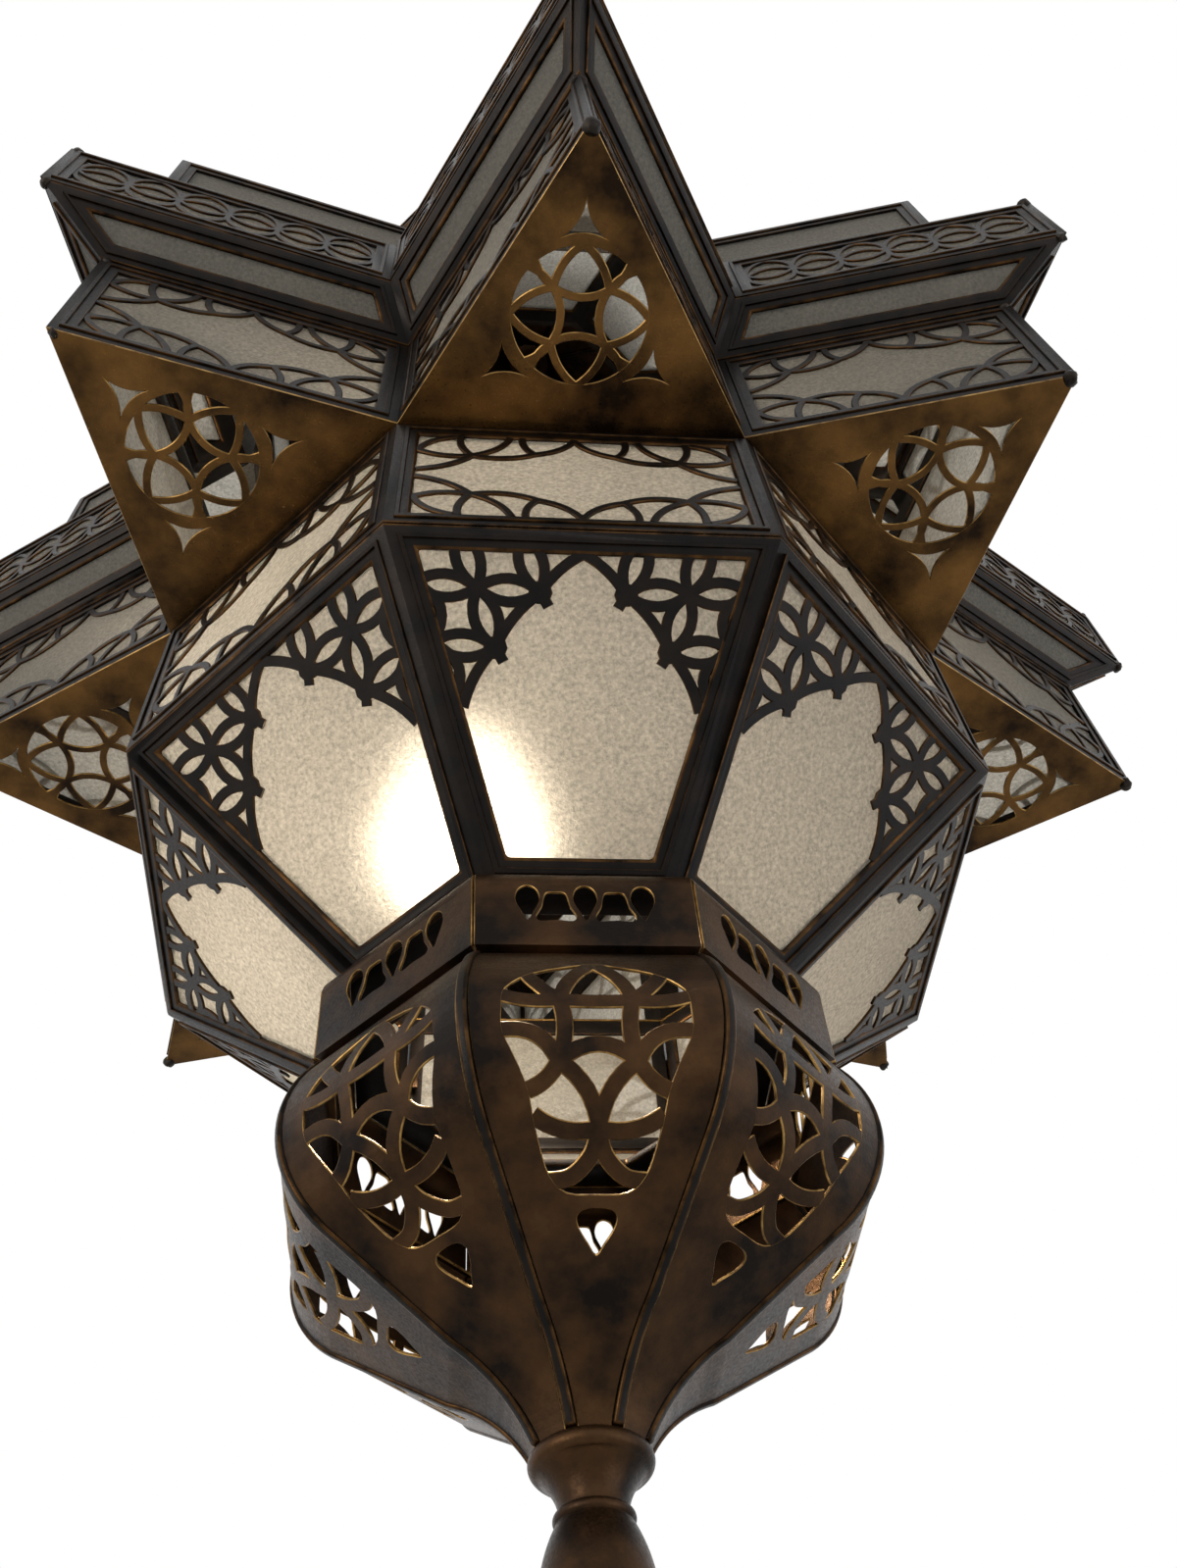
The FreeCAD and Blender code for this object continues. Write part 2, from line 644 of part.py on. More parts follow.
def build_star_tops():
    """Plain triangular windows over the star, each pane held under a flat brass frame."""
    thickness = size["sheet_thickness"].value
    level = 2 * MIDDLE.value - WALL_FOOT.value
    frames, panes = [], []
    for face in range(FACES):
        outline = plate_panel(face, level)
        tip, right, left = outline[3], outline[2], outline[4]
        window = Panel([left, right, tip], CAME_WIDTH)
        hole = window.inset(CAME_WIDTH + CAME_DEPTH)
        plate = Part.Face(Part.makePolygon(outline + outline[:1])).extrude(UP * thickness)
        loop = [window.place(across, up) for across, up in hole]
        opening = Part.Face(Part.makePolygon(loop + loop[:1])).extrude(UP * thickness)
        frames.append(plate.cut(opening).Solids[0])
        rest = [window.place(across, up) for across, up in window.inset(CAME_DEPTH * 1.2)]
        glass = Part.Face(Part.makePolygon(rest + rest[:1])).extrude(-UP * size["pane_thickness"].value)
        panes.append(glass)
    keep_solids("star_frames_top", frames)
    keep_solids("star_panes_top", panes)


def build_star():
    profile = star_profile()
    tiers = ["star_wall_lower", "flare_lower", "star_edge", "flare_upper", "star_wall_upper"]
    for tier, name in enumerate(tiers):
        panels = [framed(wall, profile, tier) for wall in star_walls()]
        keep_solids(f"{name}_frames", [frame for panel, frame, pane in panels])
        keep_solids(f"{name}_panes", [pane for panel, frame, pane in panels])
        if name == "star_wall_lower":
            laces = [piece for panel, frame, pane in panels for piece in bracket_lace(panel)]
            keep_solids("star_wall_lace_lower", laces)
    build_star_plates()
    build_star_tops()


# Sheet work below and above the body: galleries, onion bowl and crown dome, each of eight bent gores.

def wedge(low, high, gap=0.0):
    """The sector of face 0 between two heights, short of its edges by a gap."""
    reach = size["ring_radius"].value
    apex = gap / math.sin(math.radians(HALF_FACE))
    half = (reach - apex) * FACE_TAN
    loop = [Vector(apex, 0, low), Vector(reach, -half, low), Vector(reach, half, low)]
    return Part.Face(Part.makePolygon(loop + loop[:1])).extrude(UP * (high - low))


def line_of(points):
    """A wire in the XZ plane from (radius, height) points; four values give an arc's end and middle."""
    edges = []
    for before, point in zip(points, points[1:]):
        start, end = Vector(before[0], 0, before[1]), Vector(point[0], 0, point[1])
        if len(point) == 4:
            edges.append(Part.Arc(start, Vector(point[2], 0, point[3]), end).toShape())
        else:
            edges.append(Part.LineSegment(start, end).toShape())
    return Part.Wire(edges)


def gore(points, thickness, low, high, gap):
    """One bent gore about face 0: the line seen in the middle of the face, made a sheet."""
    narrow = []
    for point in points:
        narrow.append(tuple(value * FACE_COS if index % 2 == 0 else value for index, value in enumerate(point)))
    sheet_face = line_of(narrow).makeOffset2D(-thickness, 2, True, True)
    width = size["ring_radius"].value
    sheet_face.translate(Vector(0, -width, 0))
    solid = sheet_face.extrude(Vector(0, 2 * width, 0))
    return solid.common(wedge(low, high, gap))


def repeated(solid):
    """The same piece on every face."""
    pieces = []
    for face in range(FACES):
        copy = solid.copy()
        copy.rotate(Vector(), UP, FRONT + 2 * HALF_FACE * face)
        pieces.append(copy)
    return pieces


def punch(outline, reach):
    """A tool that pierces face 0 from the axis outwards; the outline is (across, height)."""
    loop = [Vector(0, across, height) for across, height in outline]
    return Part.Face(Part.makePolygon(loop + loop[:1])).extrude(Vector(reach, 0, 0))


def bowl_line():
    """Corner line of the onion bowl as (radius, depth below its top), the rim first."""
    height = size["bowl_height"].value
    widest = size["bowl_radius"].value
    end = size["bowl_end_radius"].value
    rim = size["gallery_radius"].value - 4
    return [
        (rim, 0),
        (widest - 16, height * 0.54, widest, height * 0.23),
        (end + 25, height * 0.775),
        (end, height, end + 9.5, height * 0.875),
    ]


def placed_line(line, top, direction, ratio=1.0):
    """A corner line set below (direction -1) or above (+1) a height, and stretched."""
    return [
        tuple(value if index % 2 == 0 else top + direction * ratio * value for index, value in enumerate(point))
        for point in line
    ]


# Holes of a bowl gore, (sideways, below the bowl's top). Those off the middle come in pairs.
MIDDLE_HOLES = [
    [(-7, 26.5), (0, 17.5), (7, 26.5), (0, 28)],
    [(-7.8, 31.5), (0, 32.8), (7.8, 31.5), (7.8, 42.3), (0, 39.3), (-7.8, 42.3)],
    [(-6.8, 45.5), (0, 43.6), (6.8, 45.5), (2.2, 50.5), (0, 55.5), (-2.2, 50.5)],
    [(0, 62.5), (5.5, 68.3), (-5.5, 68.3)],
    [(-5.2, 71.4), (5.2, 71.4), (3.6, 75), (0, 78.5), (-3.6, 75)],
]
SIDE_HOLES = [
    [(11, 26.8), (17, 21.5), (22, 25.5)],
    [(12.3, 31), (23.5, 30), (24, 36), (14, 41.5)],
    [(15.2, 45.6), (18.8, 41), (23.8, 40), (23, 45.6), (18.8, 48.9)],
    [(10.8, 50.3), (15.6, 54.5), (9, 56.3), (4, 56)],
    [(4, 60.2), (9.5, 61), (15, 58.5), (14, 63), (11.5, 66), (7.5, 64.5)],
]


def tracery_holes(top):
    """The pointed field of a bowl gore: curved arms that cross at five places, and a drop under them."""
    holes = [[(across, top - depth) for across, depth in hole] for hole in MIDDLE_HOLES]
    for side in (1, -1):
        holes += [[(side * across, top - depth) for across, depth in hole] for hole in SIDE_HOLES]
    return holes


def build_bowl():
    thickness = size["sheet_thickness"].value
    gap = size["seam_width"].value / 2
    top, foot = GALLERY_FOOT.value, BOWL_FOOT.value
    line = placed_line(bowl_line(), top, -1)
    piece = gore(line, -thickness, foot, top, gap)
    piece = piece.cut([punch(hole, size["ring_radius"].value) for hole in tracery_holes(top)])
    keep_solids("bowl_gores", repeated(piece.Solids[0]))
    keep_solids("bowl_seams", seams(line, foot, top, -1))


def build_dome():
    thickness = size["sheet_thickness"].value
    gap = size["seam_width"].value / 2
    foot, top = DOME_FOOT.value, DOME_TOP.value
    line = placed_line(bowl_line(), foot, 1, size["dome_ratio"].value)
    keep_solids("crown_gores", repeated(gore(line, thickness, foot, top, gap).Solids[0]))
    keep_solids("crown_seams", seams(line, foot, top, 1))


def seams(line, low, high, side):
    """Rolled seams that fill the gaps between gores and stand a little proud of them."""
    width = size["seam_width"].value
    proud = line_of(line).makeOffset2D(side * -0.5 * width, 2, False, True)
    strip = proud.makeOffset2D(side * width, 2, True, True)
    strip.translate(Vector(0, -width / 2, 0))
    strip = strip.extrude(Vector(0, width, 0))
    box = Part.makeBox(size["ring_radius"].value, 2 * width, high - low, Vector(0, -width, low))
    strip = strip.common(box).Solids[0]
    strip.rotate(Vector(), UP, HALF_FACE)
    return repeated(strip)


DROP = [(0, 10), (3.2, 13), (3.6, 16), (0, 24.7), (-3.6, 16), (-3.2, 13)]
BELL = [(-3, 14), (3, 14), (3.5, 19), (5.6, 24.2), (-5.6, 24.2), (-3.5, 19)]


def gallery_holes(top, direction):
    """Three drops and two bells between them, with their points away from the glass body."""
    pitch = size["gallery_radius"].value * 0.2
    rows = [(DROP, step * pitch) for step in (-1, 0, 1)] + [(BELL, step * pitch) for step in (-0.5, 0.5)]
    return [[(centre + across, top + direction * depth) for across, depth in shape] for shape, centre in rows]


def build_galleries():
    """The pierced strip round each end of the body, rolled inwards at the glass."""
    thickness = size["sheet_thickness"].value
    wide = size["gallery_radius"].value
    rim = size["hoop_outer_radius"].value
    height = size["gallery_height"].value
    line = [(rim, 0.5), (wide, 9, wide - 2.2, 2.6), (wide - 0.5, height - thickness / 2)]
    for name, top, direction in (("gallery_band", GALLERY_TOP.value, -1), ("crown_band", BAR_FOOT.value, 1)):
        points = placed_line(line, top, direction)
        low, high = sorted((top, top + direction * height))
        piece = gore(points, direction * thickness, low, high, 0.0)
        lip = slab_ring_sector(wide - 6, wide - 0.4, top + direction * (height - thickness), direction * thickness)
        piece = piece.fuse(lip).cut([punch(hole, size["ring_radius"].value) for hole in gallery_holes(top, direction)])
        keep_solids(name, repeated(piece.Solids[0]))


def slab_ring_sector(inner, outer, start, thickness):
    """A level strip of face 0 between two corner radii."""
    loop = [at(-HALF_FACE, inner, start), at(-HALF_FACE, outer, start), at(HALF_FACE, outer, start), at(HALF_FACE, inner, start)]
    return Part.Face(Part.makePolygon(loop + loop[:1])).extrude(UP * thickness)


def octagon_hoop(name, foot):
    """A flat octagonal hoop with corners at the ribs."""
    outside = primitive("Prism", f"{name}_outside", foot, Circumradius=size["hoop_outer_radius"], Height=size["hoop_thickness"])
    inside = primitive("Prism", f"{name}_inside", foot, Circumradius=size["hoop_inner_radius"], Height=size["hoop_thickness"])
    for prism in (outside, inside):
        prism.Polygon = FACES
        prism.Placement.Rotation = FreeCAD.Rotation(UP, HALF_FACE)
    keep(cut(f"{name}_ring", outside, inside), name)


# Turned pieces, lamp and hanging parts.

def build_finial():
    shoulder = BOWL_FOOT
    stud = size["stud_radius"]
    end = size["bowl_end_radius"]
    foot = shoulder - size["finial_length"]
    profile = [
        (0, shoulder + size["stud_length"]),
        (stud, shoulder + size["stud_length"]),
        (stud, shoulder),
        (end + 0.5, shoulder),
        (end - 0.5, shoulder - 5, end + 1.6, shoulder - 3),
        (size["stud_radius"] + 5, shoulder - 15, size["stud_radius"] + 7.0, shoulder - 9),
        (size["stud_radius"] + 6, shoulder - 18, size["stud_radius"] + 6.6, shoulder - 16.2),
        (end, shoulder - 38, size["stud_radius"] + 9.6, shoulder - 27),
        (size["stud_radius"], shoulder - 60, size["stud_radius"] + 7.5, shoulder - 52),
        (size["stud_radius"], foot + 10, size["stud_radius"] - 1.2, shoulder - 62),
        (0, foot, size["stud_radius"] + 1.2, foot + 3.5),
    ]
    keep(turned("finial", profile), "finial")
    disc = primitive("Cylinder", "base_disc", shoulder, Radius=end - 3, Height=size["stud_radius"])
    hole = primitive("Cylinder", "base_hole", shoulder, Radius=stud, Height=stud)
    keep(cut("base_washer", disc, hole), "bowl_washer")
    keep(hex_nut("finial_hex", shoulder + stud, stud, stud + 3.5), "finial_nut")


def hex_nut(name, foot, bore, corner):
    blank = primitive("Prism", f"{name}_blank", foot, Circumradius=corner, Height=size["nut_height"])
    blank.Polygon = 6
    hole = primitive("Cylinder", f"{name}_hole", foot, Radius=bore, Height=size["nut_height"])
    return cut(name, blank, hole)


def build_lamp():
    arm_foot = size["holder_foot"] + size["holder_skirt"] + 12
    tube_foot = arm_foot - size["nut_height"]
    outside = primitive("Cylinder", "tube_outside", tube_foot, Radius=size["tube_radius"], Height=size["tube_top"] - tube_foot)
    inside = primitive("Cylinder", "tube_inside", tube_foot, Radius=size["tube_bore"], Height=size["tube_top"] - tube_foot)
    keep(cut("tube", outside, inside), "lamp_tube")

    bar = primitive("Box", "bar_blank", BAR_FOOT, Length=size["bar_length"], Width=size["bar_width"], Height=size["bar_thickness"])
    for axis, length in (("x", size["bar_length"]), ("y", size["bar_width"])):
        setattr(bar.Placement.Base, axis, -length.value / 2)
        bar.setExpression(f"Placement.Base.{axis}", (length * -0.5).text)
    hole = primitive("Cylinder", "bar_hole", BAR_FOOT, Radius=size["tube_radius"], Height=size["bar_thickness"])
    keep(cut("bar", bar, hole), "cross_bar")
    below = hex_nut("nut_below", BAR_FOOT - size["nut_height"], size["tube_radius"], size["nut_radius"])
    keep(below, "lock_nut_lower")
    keep(hex_nut("nut_above", BAR_TOP, size["tube_radius"], size["nut_radius"]), "lock_nut_upper")

    build_arm(arm_foot)

    foot = size["holder_foot"]
    skirt_top = foot + size["holder_skirt"]
    bore = size["cap_radius"] + 0.6
    profile = [
        (size["tube_radius"], arm_foot),
        (0, arm_foot),
        (0, CAP_TOP),
        (bore, CAP_TOP),
        (bore, foot),
        (size["holder_radius"], foot),
        (size["holder_radius"], skirt_top),
        (size["tube_radius"] + 4, arm_foot, size["holder_radius"] - 3, skirt_top + 8),
    ]
    keep(turned("holder", profile), "lamp_holder", size["lamp_offset"])

    cap_foot = CAP_TOP - size["cap_length"]
    contact_foot = CAP_TOP - 3
    shell = primitive("Cylinder", "cap_shell", cap_foot, Radius=size["cap_radius"], Height=contact_foot - cap_foot)
    contact = primitive("Cone", "cap_contact", contact_foot, Radius1=size["cap_radius"],
                        Radius2=size["cap_radius"] - 7, Height=CAP_TOP - contact_foot)
    keep(fused("cap", [shell, contact]), "bulb_cap", size["lamp_offset"])
    keep(pear_bulb(cap_foot), "bulb", size["lamp_offset"])


def build_arm(foot):
    """A flat arm on the end of the lamp tube, which carries the lamp beside the axis."""
    length = size["arm_end"] * 2 - size["lamp_offset"]
    start = size["lamp_offset"] - size["arm_end"]
    arm = primitive("Box", "arm_blank", foot, Length=length, Width=size["bar_width"], Height=size["bar_thickness"])
    for axis, place in (("x", start), ("y", size["bar_width"] * -0.5)):
        setattr(arm.Placement.Base, axis, place.value)
        arm.setExpression(f"Placement.Base.{axis}", place.text)
    hole = primitive("Cylinder", "arm_hole", foot, Radius=size["tube_radius"], Height=size["bar_thickness"])
    keep(cut("arm", arm, hole), "lamp_arm")
    nut = hex_nut("nut_arm", foot - size["nut_height"], size["tube_radius"], size["nut_radius"])
    keep(nut, "lock_nut_arm")


def pear_bulb(neck_height):
    """A globe whose neck runs off it at a tangent, up to the screw cap."""
    radius = size["bulb_radius"].value
    neck = size["cap_radius"] - 1
    rise = (neck_height - size["bulb_centre"]).value
    lean = math.atan2(neck.value, rise) + math.acos(radius / math.hypot(neck.value, rise))
    globe = primitive("Sphere", "globe", size["bulb_centre"], Radius=size["bulb_radius"])
    touch = size["bulb_centre"] + size["bulb_radius"] * round(math.cos(lean), 4)
    wide = size["bulb_radius"] * round(math.sin(lean), 4)
    cone = primitive("Cone", "bulb_neck", touch, Radius1=wide, Radius2=neck, Height=neck_height - touch)
    return fused("pear", [globe, cone])


def build_hanger():
    start = DOME_TOP
    end = size["bowl_end_radius"]
    tube = size["tube_radius"]
    top = size["tube_top"] - 8
    profile = [
        (tube, start),
        (end + 1, start),
        (end - 2, start + 6, end + 1.5, start + 3.5),
        (tube + 5, start + 12, tube + 6, start + 9),
        (tube + 4, top),
        (tube, top),
    ]
    keep(turned("cap", profile), "top_cap")

    socket_top = size["eye_centre"] - size["eye_radius"] + size["eye_wire"] * 0.5
    socket = primitive("Cylinder", "eye_socket", top, Radius=tube + 3.5, Height=socket_top - top)
    bore = primitive("Cylinder", "eye_bore", top, Radius=tube, Height=size["tube_top"] - top)
    loop = primitive("Torus", "eye_loop", size["eye_centre"], Radius1=size["eye_radius"], Radius2=size["eye_wire"])
    loop.Placement.Rotation = FreeCAD.Rotation(Vector(0, 1, 0), 90)
    keep(cut("eye", fused("eye_body", [socket, loop]), bore), "hanging_eye")

    ring = primitive("Torus", "ring", HANG_CENTRE, Radius1=size["hang_radius"], Radius2=size["hang_wire"])
    ring.Placement.Rotation = FreeCAD.Rotation(Vector(1, 0, 0), 90)
    keep(fused("ring_alone", [ring, ring_core()]), "hanging_ring")


def ring_core():
    """A short brazed sleeve over the joint of the hanging ring's wire."""
    sleeve = primitive("Cylinder", "ring_sleeve", Radius=size["hang_wire"] + 0.6, Height=size["hang_wire"] * 3)
    side = size["hang_radius"]
    foot = HANG_CENTRE - size["hang_wire"] * 1.5
    sleeve.Placement.Base = Vector(side.value, 0, foot.value)
    sleeve.setExpression("Placement.Base.x", side.text)
    sleeve.setExpression("Placement.Base.z", foot.text)
    return sleeve


build_body()
build_door()
build_star()
build_galleries()
build_bowl()
build_dome()
octagon_hoop("mouth_hoop", GALLERY_TOP)
octagon_hoop("crown_hoop", CROWN)
build_finial()
build_lamp()
build_hanger()
doc.recompute()

faults = [item.Name for item in doc.Objects if "Invalid" in item.State or "Error" in item.State]
for node in nodes:
    if node.Shape.isNull() or not node.Shape.isValid() or not node.Shape.Solids:
        faults.append(node.Label)
if faults:
    raise RuntimeError(f"faulty: {faults}")

os.makedirs("parts", exist_ok=True)
for node in nodes:
    node.Shape.exportStep(f"parts/{node.Label}.step")
print(len(nodes), "sub-parts; hanging point", ORIGIN_HEIGHT.value, "above the widest ring")
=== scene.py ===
import json
import math

import bmesh
import bpy
from mathutils import Matrix, Vector

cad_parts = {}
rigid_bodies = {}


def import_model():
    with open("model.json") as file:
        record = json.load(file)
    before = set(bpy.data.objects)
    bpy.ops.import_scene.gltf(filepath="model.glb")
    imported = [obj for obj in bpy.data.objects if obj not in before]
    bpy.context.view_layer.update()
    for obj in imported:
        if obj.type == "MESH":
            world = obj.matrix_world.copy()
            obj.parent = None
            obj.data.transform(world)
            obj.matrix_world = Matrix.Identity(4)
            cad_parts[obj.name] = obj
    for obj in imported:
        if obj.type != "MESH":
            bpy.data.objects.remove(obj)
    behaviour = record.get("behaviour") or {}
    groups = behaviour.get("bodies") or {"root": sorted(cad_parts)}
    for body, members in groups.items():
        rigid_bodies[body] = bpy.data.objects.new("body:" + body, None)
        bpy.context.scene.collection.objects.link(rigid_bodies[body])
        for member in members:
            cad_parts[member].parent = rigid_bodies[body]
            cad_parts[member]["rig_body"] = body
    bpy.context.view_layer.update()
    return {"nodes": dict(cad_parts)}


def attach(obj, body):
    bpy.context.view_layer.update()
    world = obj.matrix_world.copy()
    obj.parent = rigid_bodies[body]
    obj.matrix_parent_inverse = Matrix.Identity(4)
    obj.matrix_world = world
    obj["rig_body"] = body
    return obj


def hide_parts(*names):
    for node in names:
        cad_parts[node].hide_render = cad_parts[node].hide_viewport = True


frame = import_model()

# A star lantern of aged brass and frosted glass, seen from below.
# Shapes are drawn in millimetres with height 0 at the widest ring of the glass body, as in the part's
# source, and lowered to the hanging point when a piece is finished.

HANG_POINT = 712.2
TO_FRAME = Matrix.Scale(0.001, 4) @ Matrix.Translation((0, 0, -HANG_POINT))

FACES = 8
HALF_FACE = 22.5
FACE_COS = math.cos(math.radians(HALF_FACE))
FACE_SIN = math.sin(math.radians(HALF_FACE))
FACE_TAN = math.tan(math.radians(HALF_FACE))
FRONT = -90.0
DOOR_FACE = 4

RING_RADIUS = 170
BELT_HEIGHT = 84
MOUTH_RADIUS = 77
CONE_HEIGHT = 77
TIP_RADIUS = 264
WALL_FOOT = 85
WALL_TOP = 169
FLARE_RATIO = 1.135
FLARE_TOP = 190
EDGE_TOP = 242
MIDDLE = 216
CAME_WIDTH = 8.5
CAME_DEPTH = 5
PANE_FACE = 1.5
SHEET = 1
PLATE_DISTANCE = RING_RADIUS * FACE_COS
GALLERY_TOP = -80
GALLERY_HEIGHT = 36
CROWN_BAND_FOOT = 512
DOME_FOOT = 548
DOME_RATIO = 0.6
ROSETTE_RADIUS = 24.5
ROSETTE_CENTRE = 42

# Openwork: its thickness on the glass, and the widths of its bands
LACE_RISE = 1.1
CORNER_BAND = 3.7
BRACKET_BAND = 2.8
FILIGREE_BAND = 2.4
ROSETTE_BAND = 3.0
GORE_BAND = 4.7
# Tracery is a little thinner than its sheet, so that no two faces share a plane.
TRACERY = SHEET * 0.94
BEAD_WIDTH = 2.4
BEAD_THICKNESS = 1.6
BEAD_RISE = 0.1
SEAM_GAP = 1.5
FACET_GAP = 0.05
SOLDER_RADIUS = 3.2
SOLDER_INSET = 3.0


# Finishes

def paint(code):
    """A linear colour from an sRGB hex value."""
    channels = [int(code[start:start + 2], 16) / 255 for start in (1, 3, 5)]
    return tuple(c / 12.92 if c <= 0.04045 else ((c + 0.055) / 1.055) ** 2.4 for c in channels) + (1.0,)


def add(tree, kind, inputs=None, **settings):
    """A node with its settings; each input is a value or the socket that feeds it."""
    node = tree.nodes.new(kind)
    for name, value in settings.items():
        setattr(node, name, value)
    for name, value in (inputs or {}).items():
        if isinstance(value, bpy.types.NodeSocket):
            tree.links.new(value, node.inputs[name])
        else:
            node.inputs[name].default_value = value
    return node


def new_material(name):
    material = bpy.data.materials.new(name)
    material.use_nodes = True
    material.node_tree.nodes.clear()
    tree = material.node_tree
    place = add(tree, "ShaderNodeTexCoord").outputs["Object"]
    return material, tree, place


def per_mm(size):
    """Texture scale for a pattern whose features are this many millimetres apart."""
    return 1000.0 / size


def metal_finish(name, dark, light, mottle, roughness, metallic, grain, relief):
    """Metal whose patina wanders between two colours, with a fine grain in its gloss and surface.

    Mottle and grain are the sizes of their features in millimetres. Real grain is finer than 0.2 mm; it is
    drawn near 1 mm so that it shows in the render.
    """
    material, tree, place = new_material(name)
    clouds = add(tree, "ShaderNodeTexNoise", {"Vector": place, "Scale": per_mm(mottle), "Detail": 5.0,
                                             "Roughness": 0.6})
    grit = add(tree, "ShaderNodeTexNoise", {"Vector": place, "Scale": per_mm(grain), "Detail": 3.0})
    ramp = add(tree, "ShaderNodeValToRGB", {"Fac": clouds.outputs["Fac"]})
    for element, position, colour in zip(ramp.color_ramp.elements, (0.36, 0.66), (dark, light)):
        element.position = position
        element.color = paint(colour)
    gloss = add(tree, "ShaderNodeMapRange", {"Value": grit.outputs["Fac"], "From Min": 0.3, "From Max": 0.7,
                                             "To Min": roughness - 0.1, "To Max": roughness + 0.1})
    bump = add(tree, "ShaderNodeBump", {"Height": grit.outputs["Fac"], "Strength": 0.5,
                                        "Distance": relief / 1000})
    surface = add(tree, "ShaderNodeBsdfPrincipled", {
        "Base Color": ramp.outputs["Color"], "Metallic": metallic, "Roughness": gloss.outputs["Result"],
        "Normal": bump.outputs["Normal"]})
    add(tree, "ShaderNodeOutputMaterial", {"Surface": surface.outputs["BSDF"]})
    return material


# Sheet brass dipped in brown patina and rubbed by hand, dark and gold in random patches; its whole tone is also
# painted shade, kept near-black brown, darker than the brass is under plain light.
brass_patina_and_painted_shade = metal_finish("sheet_brass_patina_and_painted_shade", "#150e09", "#4b331c", 26.0, 0.40, 0.85, 0.9, 0.12)
# The same sheet on the flat star plates in a lighter, more golden copy: a painted highlight of the lamp's glow
# on the plates.
star_plate_brass_painted_highlight = metal_finish("sheet_brass_painted_lamp_highlight", "#22170d", "#76542b", 45.0, 0.34, 0.92, 0.9, 0.1)
# Sawn and filed edges of the sheet, where bare brass shows through, made brighter as a painted edge highlight:
# the bright outline of each hole.
filed_edge_wear_and_highlight = metal_finish("filed_brass_wear_and_painted_highlight", "#5d4526", "#b08c52", 6.0, 0.36, 1.0, 0.8, 0.08)
# Inner side of the sheets, a lighter warm copper-brown: painted light of the lamp on the faces that look
# towards it.
brass_painted_lamp_light = metal_finish("brass_painted_with_lamp_light", "#5b3416", "#a86a30", 20.0, 0.36, 0.9, 1.0, 0.1)
# Folded brass channel round the panes, near-black all over: blackened patina of the folds and painted shade of
# frames seen against the lit glass.
channel_brass_painted_shade = metal_finish("brass_channel_patina_and_painted_shade", "#080605", "#1c1510", 18.0, 0.44, 0.7, 0.7, 0.12)
# Corners of the channel, rubbed by handling and made lighter as a painted edge highlight.
channel_corner_wear_and_highlight = metal_finish("channel_corner_wear_and_painted_highlight", "#18110b", "#52391f", 9.0, 0.38, 0.95, 0.8, 0.08)
# Tin-lead solder run on by hand and blackened with the patina.
solder = metal_finish("blackened_solder", "#120e0b", "#2f261d", 4.0, 0.48, 0.7, 1.2, 0.25)
# Zinc-plated steel hardware: grey and a little dull.
plated_steel = metal_finish("zinc_plated_steel", "#8b8c8b", "#a9aaa8", 12.0, 0.4, 1.0, 0.8, 0.05)
# Pressed aluminium screw cap.
pressed_aluminium = metal_finish("pressed_aluminium", "#b5b6b7", "#cfd0d1", 10.0, 0.3, 1.0, 0.8, 0.03)


def frosted_glass():
    """Sandblasted sheet glass: grey-white, light glows through it and none passes straight.

    The marks of the grit are about 0.2 mm across, and are drawn at 1.5 mm so that they show.
    """
    material, tree, place = new_material("sandblasted_glass")
    sand = add(tree, "ShaderNodeTexNoise", {"Vector": place, "Scale": per_mm(1.5), "Detail": 4.0,
                                            "Roughness": 0.7})
    cloud = add(tree, "ShaderNodeTexNoise", {"Vector": place, "Scale": per_mm(30), "Detail": 2.0})
    tone = add(tree, "ShaderNodeMix", {"Factor": cloud.outputs["Fac"], "A": paint("#e9e6df"),
                                       "B": paint("#f6f4ee")}, data_type="RGBA")
    speck = add(tree, "ShaderNodeMapRange", {"Value": sand.outputs["Fac"], "From Min": 0.32, "From Max": 0.68,
                                             "To Min": 0.42, "To Max": 1.0})
    grainy = add(tree, "ShaderNodeMix", {"Factor": 1.0, "A": tone.outputs["Result"],
                                         "B": speck.outputs["Result"]},
                 data_type="RGBA", blend_type="MULTIPLY")
    bump = add(tree, "ShaderNodeBump", {"Height": sand.outputs["Fac"], "Strength": 0.8,
                                        "Distance": 0.0004})
    glow = add(tree, "ShaderNodeBsdfTranslucent", {"Color": grainy.outputs["Result"],
                                                   "Normal": bump.outputs["Normal"]})
    skin = add(tree, "ShaderNodeBsdfPrincipled", {
        "Base Color": paint("#8a877f"), "Roughness": 0.5, "IOR": 1.5, "Normal": bump.outputs["Normal"]})
    # The blurred spot of the lamp behind the glass.
    blur = add(tree, "ShaderNodeBsdfRefraction", {
        "Color": grainy.outputs["Result"], "Roughness": 0.68, "IOR": 1.15, "Normal": bump.outputs["Normal"]})
    passed = add(tree, "ShaderNodeMixShader", {"Fac": 0.7, 1: glow.outputs["BSDF"], 2: blur.outputs["BSDF"]})
    both = add(tree, "ShaderNodeMixShader", {"Fac": 0.32, 1: passed.outputs["Shader"], 2: skin.outputs["BSDF"]})
    add(tree, "ShaderNodeOutputMaterial", {"Surface": both.outputs["Shader"]})
    return material


def clear_face():
    """The smooth side of the same glass, which lets the light through to the frosted side."""
    material, tree, _ = new_material("smooth_glass_back")
    clear = add(tree, "ShaderNodeBsdfTransparent", {"Color": paint("#f4f6f4")})
    shine = add(tree, "ShaderNodeBsdfGlossy", {"Color": paint("#ffffff"), "Roughness": 0.15})
    both = add(tree, "ShaderNodeMixShader", {"Fac": 0.05, 1: clear.outputs["BSDF"], 2: shine.outputs["BSDF"]})
    add(tree, "ShaderNodeOutputMaterial", {"Surface": both.outputs["Shader"]})
    return material


